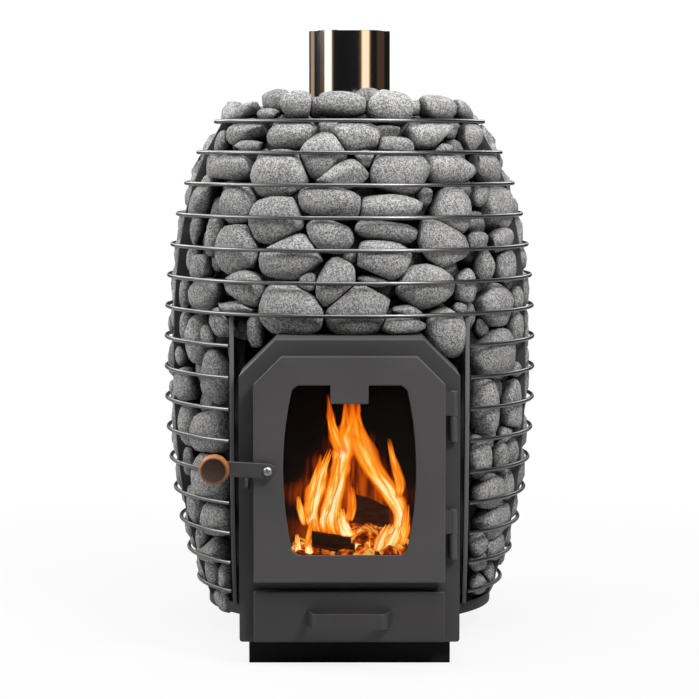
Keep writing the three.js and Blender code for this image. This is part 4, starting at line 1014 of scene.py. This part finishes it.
# The other stones are dropped in one by one, the large ones first, wherever there is room left:
# round the sides and the back, beside the ribs, and in the shade behind the front stones
Zone = namedtuple("Zone", "start end behind shade overlap largest smallest tries")
LOOSE = 0.86
SNUG = 1.16
# A zone's shade darkens the stones that lie deeper: painted shade.
ZONES = [
    Zone(76, 284, 0.0, 1.0, LOOSE, 0.040, 0.013, 6000),
    Zone(36, 71, 0.0, 1.0, SNUG, 0.034, 0.014, 1800),
    Zone(-71, -36, 0.0, 1.0, SNUG, 0.034, 0.014, 1800),
    Zone(36, 71, 0.017, 0.7, LOOSE, 0.030, 0.014, 1200),
    Zone(-71, -36, 0.017, 0.7, LOOSE, 0.030, 0.014, 1200),
    Zone(-75, 75, 0.036, 0.28, LOOSE, 0.034, 0.018, 1500),
]
HALF_SPANS = ((0.85, 1.05), (0.65, 0.88), (0.48, 0.62))
LOWEST_STONE = 0.068
BESIDE_POST = 0.016
for zone in ZONES:
    for attempt in range(zone.tries):
        size = zone.largest + (zone.smallest - zone.largest) * attempt / zone.tries
        halves = tuple(size * draw.uniform(*span) for span in HALF_SPANS)
        turn = math.radians(draw.uniform(zone.start, zone.end))
        level = draw.uniform(LOWEST_STONE, hoops[0].height + 0.004)
        out = farthest_out(level, halves[1], halves[2]) - draw.uniform(0.0, 0.004) - zone.behind
        middle = out * outward(turn) + level * UP
        shade = zone.shade * draw.uniform(0.84, 1.12)
        stone = Pebble(middle, laid(turn, draw.uniform(-50, 50)), halves, shade, 2)
        in_body = level < body_high.z + 0.01 and abs(middle.x) < post_high.x + BESIDE_POST
        if (not in_body or middle.y > body_high.y) and has_room(stone, zone.overlap):
            pebbles.append(stone)

# The heap on top is filled up the same way, between the flue and the front stones of the crown
CROWN_LEVEL = 0.723
CROWN_REACH = 0.166
CROWN_TRIES = 1500
for attempt in range(CROWN_TRIES):
    size = 0.031 - 0.018 * attempt / CROWN_TRIES
    halves = tuple(size * draw.uniform(*span) for span in HALF_SPANS)
    turn = draw.uniform(-math.pi, math.pi)
    reach = draw.uniform(flue_clear + 0.7 * size, CROWN_REACH)
    spin = draw.uniform(-math.pi, math.pi)
    axes = (sideways(spin), outward(spin), UP)
    middle = reach * outward(turn) + (CROWN_LEVEL + draw.uniform(-0.005, 0.005)) * UP
    stone = Pebble(middle, axes, halves, draw.uniform(0.84, 1.10), 2)
    if has_room(stone, LOOSE):
        pebbles.append(stone)

groups = {}
for name in STONE_GROUPS:
    heap = bmesh.new()
    groups[name] = (heap, heap.verts.layers.float.new("tone"))
for pebble in pebbles:
    heap, tone = groups[stone_group(pebble.middle)]
    add_stone(heap, tone, pebble, contacts(pebble, pebbles), draw)

# Behind the outer stones each group has a lumpy fill coloured nearly black: painted shade for the stones that
# lie in the shade
UPPER_FILL = 0.060
LOWER_FILL = 0.022
FILL_STEPS = 24
FILL_TURNS = {
    "stones_upper_front_left": (-FRONT_RIB, 0.0),
    "stones_upper_front_right": (0.0, FRONT_RIB),
    "stones_upper_right": (FRONT_RIB, REAR_RIB),
    "stones_upper_left": (-REAR_RIB, -FRONT_RIB),
    "stones_upper_rear": (REAR_RIB, 2 * math.pi - REAR_RIB),
    "stones_lower_right": (math.radians(30), REAR_RIB),
    "stones_lower_left": (-REAR_RIB, -math.radians(30)),
    "stones_lower_rear": (REAR_RIB, 2 * math.pi - REAR_RIB),
}
BODY_CLEAR = 0.004
for name, (start, end) in FILL_TURNS.items():
    upper = "upper" in name
    foot, head = (body_high.z + 0.006, hoops[0].height - 0.004) if upper else (0.05, body_high.z)
    bm = bmesh.new()
    fill_steps = 14
    heights = [foot + (head - foot) * i / fill_steps for i in range(fill_steps + 1)]
    inner = flue_high.x + 0.004 if upper else 0.10
    depth = UPPER_FILL if upper else LOWER_FILL
    outer = [(basket_radius(z) - depth, z) for z in heights]
    loop = [*outer, (inner, head), (inner, foot)]
    corners = [bm.verts.new((r * math.sin(start), -r * math.cos(start), z)) for r, z in loop]
    section = bm.faces.new(corners)
    bmesh.ops.spin(
        bm, geom=[section, *section.edges, *section.verts], cent=(0, 0, 0), axis=(0, 0, 1),
        angle=end - start, steps=FILL_STEPS,
    )
    if not upper:
        walls = [((body_high.x + BODY_CLEAR, 0, 0), (1, 0, 0))] if "right" in name else []
        walls += [((body_low.x - BODY_CLEAR, 0, 0), (-1, 0, 0))] if "left" in name else []
        walls += [((0, body_high.y + BODY_CLEAR, 0), (0, 1, 0))] if "rear" in name else []
        for point, normal in walls:
            everything = bm.verts[:] + bm.edges[:] + bm.faces[:]
            cut = bmesh.ops.bisect_plane(
                bm, geom=everything, plane_co=point, plane_no=normal, clear_inner=True
            )["geom_cut"]
            bmesh.ops.holes_fill(bm, edges=[e for e in bm.edges if e.is_boundary])
    bmesh.ops.remove_doubles(bm, verts=bm.verts, dist=0.0001)
    for vert in bm.verts:
        out = vert.co.xy.length
        if out > 0.16:
            vert.co.xy *= 1.0 - 0.05 * (1.0 + noise.noise(28.0 * vert.co))
    fill = bpy.data.meshes.new(f"{name}_fill")
    bm.to_mesh(fill)
    bm.free()
    heap, tone = groups[name]
    before = len(heap.verts)
    heap.from_mesh(fill)
    heap.verts.ensure_lookup_table()
    # The fill's tone is nearly black: painted shade.
    for vert in heap.verts[before:]:
        vert[tone] = 0.03
    bpy.data.meshes.remove(fill)


def sauna_stone():
    made, paint = new_material("sauna_stone")
    place = paint.node("ShaderNodeTexCoord", output="Object")
    tone = paint.node("ShaderNodeAttribute", {"attribute_name": "tone"}, output="Fac")
    salt = place.noise(460.0, 3.0)
    grit = place.noise(250.0, 2.0)
    cloud = place.noise(26.0, 4.0)
    crystal = place.node("ShaderNodeTexVoronoi", {}, {"Vector": place, "Scale": 400.0})
    pale = (salt * 0.55 + grit * 0.3 + cloud * 0.15).ramp(0.38, 0.63)
    ground = pale.mix((0.105, 0.103, 0.103), (0.41, 0.405, 0.40))
    spotted = crystal.ramp(0.12, 0.36).mix((0.03, 0.03, 0.03), ground)
    paint.surface({
        "Base Color": tone.mix((0.0, 0.0, 0.0), spotted),
        "Roughness": 0.86 - 0.12 * salt,
        "Specular IOR Level": 0.3,
        "Normal": (salt * 0.6 + grit * 0.8).bump(0.0011),
    })
    return made


stone_material = sauna_stone()
for name, (heap, tone) in groups.items():
    add_piece(name.replace("stones_", "heap_"), heap, stone_material, "stove", [name], 70.0)


# Fire: two split logs burn on the grate behind the glass, over a bed of embers. The flames are thin
# closed sheets of glowing gas, hottest along their middles, and a wide dim sheet behind them glows as painted
# light of the fire on the firebox.
FlamePoint = namedtuple("FlamePoint", "across down half_width heat")
FIRE_PLANE = -0.150
MAIN_FLAME = [
    FlamePoint(335, 540, 7, 1.0), FlamePoint(331, 520, 8, 1.0), FlamePoint(333, 500, 8, 0.95),
    FlamePoint(338, 480, 8.5, 0.90), FlamePoint(342, 460, 8.5, 0.85), FlamePoint(346, 440, 9, 0.75),
    FlamePoint(350, 424, 11, 0.54), FlamePoint(352, 408, 12, 0.34), FlamePoint(352, 392, 10, 0.16),
]
RIGHT_FLAME = [
    FlamePoint(392, 556, 7, 1.1), FlamePoint(401, 534, 6.5, 1.0), FlamePoint(399, 510, 7, 0.92),
    FlamePoint(388, 490, 9, 0.85), FlamePoint(375, 472, 10, 0.68), FlamePoint(365, 452, 11, 0.58),
    FlamePoint(357, 432, 11, 0.56), FlamePoint(353, 414, 10, 0.38), FlamePoint(351, 396, 8, 0.16),
]
LEFT_FLAME = [
    FlamePoint(317, 534, 5, 0.9), FlamePoint(311, 514, 7, 0.95), FlamePoint(314, 496, 7.5, 0.92),
    FlamePoint(319, 480, 7, 0.80), FlamePoint(324, 466, 5, 0.62), FlamePoint(331, 448, 4, 0.35),
]
INNER_FLAME = [
    FlamePoint(325, 534, 5, 0.95), FlamePoint(323, 520, 3.5, 0.8), FlamePoint(328, 502, 4.5, 0.85),
    FlamePoint(333, 484, 5, 0.78), FlamePoint(337, 466, 4.5, 0.6), FlamePoint(340, 452, 3, 0.4),
]
SIDE_FLAME = [
    FlamePoint(308, 520, 3, 0.7), FlamePoint(310, 500, 4.5, 0.72), FlamePoint(315, 480, 4, 0.6),
    FlamePoint(319, 466, 3, 0.45), FlamePoint(321, 454, 2, 0.25),
]
LEFT_WISP = [
    FlamePoint(344, 456, 6, 0.66), FlamePoint(337, 440, 5.5, 0.60), FlamePoint(332, 424, 4.5, 0.52),
    FlamePoint(330, 410, 3.4, 0.32), FlamePoint(328, 394, 2.4, 0.14),
]
RIGHT_TONGUE = [
    FlamePoint(398, 500, 3.5, 0.62), FlamePoint(400, 484, 4.5, 0.70), FlamePoint(396, 468, 4.2, 0.66),
    FlamePoint(392, 454, 3.4, 0.55), FlamePoint(389, 438, 2.5, 0.3),
]
RIGHT_EDGE = [
    FlamePoint(401, 546, 5, 0.8), FlamePoint(405, 524, 4, 0.62), FlamePoint(407, 504, 3.5, 0.45),
]
SMALL_FLAMES = [
    [FlamePoint(304, 526, 2.2, 0.6), FlamePoint(301, 512, 3, 0.8), FlamePoint(298, 496, 2.6, 0.5)],
    [FlamePoint(298, 557, 3, 1.1), FlamePoint(298, 547, 3, 1.0), FlamePoint(297, 534, 2.6, 0.6)],
    [FlamePoint(311, 557, 4.2, 1.1), FlamePoint(309, 549, 3.6, 0.9), FlamePoint(307, 538, 2.6, 0.4)],
    [FlamePoint(306, 548, 2, 0.5), FlamePoint(309, 534, 2.6, 0.55), FlamePoint(313, 518, 2.4, 0.3)],
    [FlamePoint(358, 552, 3, 0.8), FlamePoint(358, 541, 4, 1.0), FlamePoint(361, 528, 4, 0.8)],
    [FlamePoint(370, 555, 2.4, 0.8), FlamePoint(368, 546, 2.6, 0.8), FlamePoint(369, 534, 2, 0.4)],
    [FlamePoint(349, 537, 8, 1.1), FlamePoint(343, 524, 6, 0.95), FlamePoint(341, 508, 4, 0.5)],
    [FlamePoint(349, 522, 4, 0.5), FlamePoint(352, 506, 5, 0.5), FlamePoint(351, 486, 4, 0.3)],
    [FlamePoint(378, 552, 5, 0.7), FlamePoint(382, 540, 7, 0.75), FlamePoint(390, 524, 6, 0.6)],
    [FlamePoint(386, 554, 6, 0.9), FlamePoint(392, 542, 7, 0.9), FlamePoint(398, 526, 6, 0.7)],
]
# A wide dim sheet behind the flames glows red: painted light of the fire on the firebox.
PAINTED_BACK_GLOW = [
    FlamePoint(350, 560, 88, 0.22), FlamePoint(350, 530, 88, 0.24), FlamePoint(350, 500, 80, 0.22),
    FlamePoint(350, 465, 64, 0.19), FlamePoint(351, 430, 46, 0.15), FlamePoint(351, 400, 26, 0.10),
]


def in_fire(across, down, plane):
    line = sight_line(across, down)
    return CAMERA_PLACE + line * ((plane - CAMERA_PLACE.y) / line.y)


def between(points, share):
    """A flame's place, half width and heat at a share of its length, on a smooth curve."""
    spot = share * (len(points) - 1)
    index = min(int(spot), len(points) - 2)
    part = spot - index
    four = [points[max(0, min(len(points) - 1, index + i))] for i in (-1, 0, 1, 2)]
    blended = []
    for before, first, second, after in zip(*four):
        bend = part * part * (2 * before - 5 * first + 4 * second - after)
        turn = part * part * part * (3 * first - before - 3 * second + after)
        blended.append(first + 0.5 * (part * (second - before) + bend + turn))
    return FlamePoint(*blended)


def add_flame(bm, layers, points, plane, spread):
    warmth, across, along = layers
    rings = 10 * len(points)
    sides = 16
    before = None
    length = 10.0 * plane
    last = None
    for step in range(rings + 1):
        share = step / rings
        here = between(points, share)
        taper = min(1.0, math.sqrt(8 * share) + 0.02) * min(1.0, (2.6 * (1 - share)) ** 0.8 + 0.02)
        wave = spread + 0.45 * noise.noise(Vector((plane * 900, share * len(points) * 1.3, 0)))
        middle = in_fire(here.across, here.down, plane)
        length += (middle - last).length if last else 0.0
        last = middle
        wide = wave * taper * here.half_width * (plane - CAMERA_PLACE.y) / FOCAL_PIXELS
        heat = 1.12 * here.heat * min(1.0, 0.2 + 5.0 * share)
        ring = []
        for side in range(sides):
            turn = 2 * math.pi * side / sides
            offset = Vector((wide * math.cos(turn), 0.3 * wide * math.sin(turn), 0))
            vert = bm.verts.new(middle + offset)
            vert[warmth] = heat * abs(math.sin(turn)) ** 2.0
            vert[across] = wide * math.cos(turn)
            vert[along] = length
            ring.append(vert)
        if before:
            for side in range(sides):
                follow = (side + 1) % sides
                bm.faces.new((before[side], before[follow], ring[follow], ring[side]))
        else:
            bm.faces.new(ring[::-1])
        before = ring
    bm.faces.new(before)


def flame_gas():
    made, paint = new_material("flame_gas")
    names = ("warmth", "across", "along")
    warmth, across, along = (
        paint.node("ShaderNodeAttribute", {"attribute_name": name}, output="Fac") for name in names
    )
    flow = paint.node("ShaderNodeCombineXYZ", {}, {0: across, 1: along * 0.13, 2: 0.0})
    streak = flow.noise(170.0, 3.0).ramp(0.30, 0.70)
    strength = warmth * (0.55 + 0.70 * streak)
    colour = strength.node(
        "ShaderNodeValToRGB",
        {"stops": [
            (0.0, (0.55, 0.03, 0.0)), (0.22, (0.95, 0.12, 0.001)), (0.42, (1.0, 0.23, 0.004)),
            (0.60, (1.0, 0.40, 0.025)), (0.78, (1.0, 0.66, 0.16)), (1.0, (1.0, 0.90, 0.52)),
        ]},
        {0: strength},
    )
    paint.surface({
        "Base Color": (0.0, 0.0, 0.0, 1.0),
        "Specular IOR Level": 0.0,
        "Emission Color": colour,
        "Emission Strength": 1.3,
        "Alpha": strength.ramp(0.06, 0.62),
    })
    return made


flame_material = flame_gas()
TONGUES = [
    MAIN_FLAME, RIGHT_FLAME, LEFT_FLAME, INNER_FLAME, SIDE_FLAME, LEFT_WISP, RIGHT_TONGUE, RIGHT_EDGE,
    *SMALL_FLAMES,
]
STRANDS = (-0.62, 0.58)


def strand(points, offset):
    """A thinner tongue that runs along one edge of a flame."""
    return [FlamePoint(p.across + offset * p.half_width, p.down, 0.42 * p.half_width, p.heat) for p in points]


bm = bmesh.new()
layers = [bm.verts.layers.float.new(name) for name in ("warmth", "across", "along")]
add_flame(bm, layers, PAINTED_BACK_GLOW, FIRE_PLANE + 0.11, 1.0)
for order, points in enumerate(TONGUES):
    plane = FIRE_PLANE - 0.003 * order
    add_flame(bm, layers, points, plane, 1.35)
    for offset in STRANDS:
        add_flame(bm, layers, strand(points, offset), plane - 0.0012 - 0.0006 * offset, 1.0)
add_piece("flames", bm, flame_material, "stove", crease=180.0)

Log = namedtuple("Log", "name left left_down right right_down thick far_end plane ember_level")
LOGS = [
    Log("log_rear", 349, 507, 388, 517, 18, 0.60, -0.105, 0.140),
    Log("log_front", 312, 539, 355, 546, 8.5, 1.0, -0.185, 0.116),
]


def charred_wood(name, ember_level):
    made, paint = new_material(name)
    place = paint.node("ShaderNodeTexCoord", output="Object")
    bark = place.stretched((0.3, 1.0, 1.0)).noise(210.0, 4.0)
    crack = place.stretched((0.5, 1.0, 1.0)).noise(120.0, 3.0)
    height = place.axis("Z")
    low = (ember_level - height).ramp(-0.006, 0.012)
    burning = (low * 0.55 + crack * 0.6).ramp(0.62, 0.86)
    colour = burning.node(
        "ShaderNodeValToRGB",
        {"stops": [(0.0, (0.012, 0.001, 0.0)), (0.45, (0.75, 0.09, 0.004)), (1.0, (1.0, 0.62, 0.22))]},
        {0: burning},
    )
    paint.surface({
        "Base Color": bark.ramp(0.3, 0.7).mix((0.010, 0.006, 0.005), (0.05, 0.02, 0.012)),
        "Roughness": 0.95,
        "Emission Color": colour,
        "Emission Strength": 1.0,
        "Normal": bark.bump(0.003),
    })
    return made


LOG_RINGS = 14
LOG_SIDES = 14
for log in LOGS:
    start = in_fire(log.left, log.left_down, log.plane)
    end = in_fire(log.right, log.right_down, log.plane)
    thick = log.thick * (log.plane - CAMERA_PLACE.y) / FOCAL_PIXELS
    bm = bmesh.new()
    before = None
    for step in range(LOG_RINGS + 1):
        middle = start.lerp(end, step / LOG_RINGS)
        half = 0.86 * thick * (1.0 + (log.far_end - 1.0) * step / LOG_RINGS)
        ring = []
        for side in range(LOG_SIDES):
            turn = 2 * math.pi * side / LOG_SIDES
            split = 1.0 / max(abs(math.cos(turn + 0.5)), abs(math.sin(turn + 0.5)), 0.82)
            way = Vector((0, math.cos(turn), math.sin(turn)))
            rough = 1.0 + 0.18 * noise.noise(2.0 * way + 40.0 * middle)
            ring.append(bm.verts.new(middle + half * split * rough * way))
        if before:
            for side in range(LOG_SIDES):
                follow = (side + 1) % LOG_SIDES
                bm.faces.new((before[side], before[follow], ring[follow], ring[side]))
        else:
            bm.faces.new(ring[::-1])
        before = ring
    bm.faces.new(before)
    add_piece(log.name, bm, charred_wood(log.name, log.ember_level), "stove", crease=60.0)

EMBER_COUNT = 150
EMBER_PILE = 0.034
bm = bmesh.new()
for _ in range(EMBER_COUNT):
    at = Vector((draw.uniform(-0.075, 0.078), draw.uniform(-0.215, -0.06), 0.0))
    size = draw.uniform(0.007, 0.014)
    pile = EMBER_PILE * math.exp(-((at.x - 0.028) / 0.030) ** 2) * draw.random()
    at.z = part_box("fire_grate")[1].z + 0.4 * size + pile
    turn = Matrix.Rotation(draw.uniform(0, 3), 4, "Z") @ Matrix.Diagonal((1.3, 0.9, 0.7, 1.0))
    coal = bmesh.ops.create_icosphere(
        bm, subdivisions=1, radius=size, matrix=Matrix.Translation(at) @ turn
    )["verts"]
    for vert in coal:
        vert.co += 0.3 * size * noise.noise_vector(vert.co * 130.0)


def glowing_coal():
    made, paint = new_material("glowing_coal")
    place = paint.node("ShaderNodeTexCoord", output="Object")
    patch = place.noise(34.0, 2.0)
    spark = place.noise(120.0, 3.0)
    glow = (patch * 0.65 + spark * 0.5).ramp(0.42, 0.74)
    colour = glow.node(
        "ShaderNodeValToRGB",
        {"stops": [
            (0.0, (0.012, 0.001, 0.0)), (0.30, (0.30, 0.020, 0.0)), (0.62, (1.0, 0.20, 0.004)),
            (1.0, (1.0, 0.62, 0.13)),
        ]},
        {0: glow},
    )
    paint.surface({
        "Base Color": (0.02, 0.012, 0.01, 1.0),
        "Roughness": 0.9,
        "Emission Color": colour,
        "Emission Strength": 1.0,
    })
    return made


add_piece("embers", bm, glowing_coal(), "stove", crease=30.0)


# Studio: a plain white room. Soft boxes stand round the stove and show as strips in the polished
# flue, and the floor keeps a faint shadow under the plinth.
camera_data = bpy.data.cameras.new("photo_camera")
camera_data.sensor_width = 36.0
camera_data.lens = FOCAL_PIXELS * 36.0 / 699.0
camera = bpy.data.objects.new("photo_camera", camera_data)
camera.location = CAMERA_PLACE
camera.rotation_euler = (math.pi / 2 - CAMERA_PITCH, 0, 0)
scene = bpy.context.scene
scene.collection.objects.link(camera)
scene.camera = camera
scene.view_settings.view_transform = "Standard"

Lamp = namedtuple("Lamp", "name turn rise distance width height power")
LAMPS = [
    Lamp("key", 36, 38, 3.0, 0.8, 0.8, 86),
    Lamp("fill", -92, 28, 3.0, 1.5, 1.5, 78),
    Lamp("top", 0, 74, 2.4, 1.8, 1.8, 78),
    Lamp("rear_left", -145, 30, 3.0, 1.2, 1.6, 34),
    Lamp("rear_right", 148, 30, 3.0, 1.2, 1.6, 28),
]
AIM = Vector((0, 0, 0.42))
for lamp in LAMPS:
    turn = math.radians(lamp.turn)
    rise = math.radians(lamp.rise)
    way = Vector((math.sin(turn) * math.cos(rise), -math.cos(turn) * math.cos(rise), math.sin(rise)))
    light = bpy.data.lights.new(lamp.name, "AREA")
    light.shape = "RECTANGLE"
    light.size = lamp.width
    light.size_y = lamp.height
    light.energy = lamp.power
    stand = bpy.data.objects.new(lamp.name, light)
    stand.location = AIM + lamp.distance * way
    stand.rotation_euler = way.to_track_quat("Z", "Y").to_euler()
    scene.collection.objects.link(stand)


def seen_direct(paint):
    kinds = ("Is Camera Ray", "Is Transmission Ray")
    seen, through = (paint.node("ShaderNodeLightPath", output=kind) for kind in kinds)
    return seen.greater(through)


AMBIENT = 0.07
world = bpy.data.worlds.new("white_room")
world.use_nodes = True
world.node_tree.nodes.clear()
air = Shade(world.node_tree)
sky = seen_direct(air).mix((AMBIENT, AMBIENT, AMBIENT), (1.0, 1.0, 1.0))
light = air.node("ShaderNodeBackground", {}, {"Color": sky, "Strength": 1.0})
air.node("ShaderNodeOutputWorld", {}, {"Surface": light})
scene.world = world

FLOOR_REACH = 6.0
bm = bmesh.new()
bmesh.ops.create_circle(bm, cap_ends=True, segments=64, radius=FLOOR_REACH)
floor_mesh = bpy.data.meshes.new("floor")
bm.to_mesh(floor_mesh)
bm.free()
floor = bpy.data.objects.new("floor", floor_mesh)
scene.collection.objects.link(floor)
floor_white, paint = new_material("floor_white")
matt = paint.node("ShaderNodeBsdfDiffuse", {}, {"Color": (0.42, 0.42, 0.42, 1.0)})
white = paint.node("ShaderNodeEmission", {}, {"Color": (1.0, 1.0, 1.0, 1.0), "Strength": 1.0})
place = paint.node("ShaderNodeTexCoord", output="Object")
away = place.node("ShaderNodeVectorMath", {"operation": "LENGTH"}, {0: place}, "Value")
share = 0.88 + 0.12 * away.ramp(0.5, 1.5)
lit = paint.node("ShaderNodeMixShader", {}, {0: seen_direct(paint) * share, 1: matt, 2: white})
paint.node("ShaderNodeOutputMaterial", {}, {"Surface": lit})
floor_mesh.materials.append(floor_white)

# The soft boxes as the flue shows them: where each strip stands round the stove, in degrees
Strip = namedtuple("Strip", "start end colour")
STRIPS = [
    Strip(-92, -46, (0.10, 0.055, 0.03)), Strip(-75, -52, (1.9, 1.75, 1.45)),
    Strip(28, 64, (0.12, 0.065, 0.035)), Strip(35, 58, (1.6, 1.2, 0.80)),
    Strip(-146, -120, (0.50, 0.36, 0.25)), Strip(85, 118, (0.085, 0.05, 0.032)),
]
DRUM_RADIUS = 4.2
DRUM_HEIGHT = 3.2
SOFT_EDGE = 3.0
bm = bmesh.new()
bmesh.ops.create_cone(
    bm, cap_ends=False, segments=96, radius1=DRUM_RADIUS, radius2=DRUM_RADIUS, depth=DRUM_HEIGHT,
    matrix=Matrix.Translation((0, 0, DRUM_HEIGHT / 2)),
)
drum_mesh = bpy.data.meshes.new("soft_boxes")
bm.to_mesh(drum_mesh)
bm.free()
drum = bpy.data.objects.new("soft_boxes", drum_mesh)
scene.collection.objects.link(drum)
drum.visible_camera = False
drum.visible_diffuse = False
drum.visible_transmission = False
drum.visible_shadow = False
drum_glow, paint = new_material("soft_boxes")
place = paint.node("ShaderNodeTexCoord", output="Object")
turn = place.axis("X").maths("ARCTAN2", place.axis("X"), 0.0 - place.axis("Y")) * (180 / math.pi)
colour = turn.ramp(-180.0, 180.0).mix((0.012, 0.012, 0.013), (0.012, 0.012, 0.013))
for strip in STRIPS:
    inside = turn.ramp(strip.start - SOFT_EDGE, strip.start + SOFT_EDGE)
    inside = inside * (1.0 - turn.ramp(strip.end - SOFT_EDGE, strip.end + SOFT_EDGE))
    colour = inside.mix(colour, strip.colour)
glow = paint.node("ShaderNodeEmission", {}, {"Color": colour, "Strength": 1.0})
paint.node("ShaderNodeOutputMaterial", {}, {"Surface": glow})
drum_mesh.materials.append(drum_glow)
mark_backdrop(floor, drum)

low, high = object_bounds()
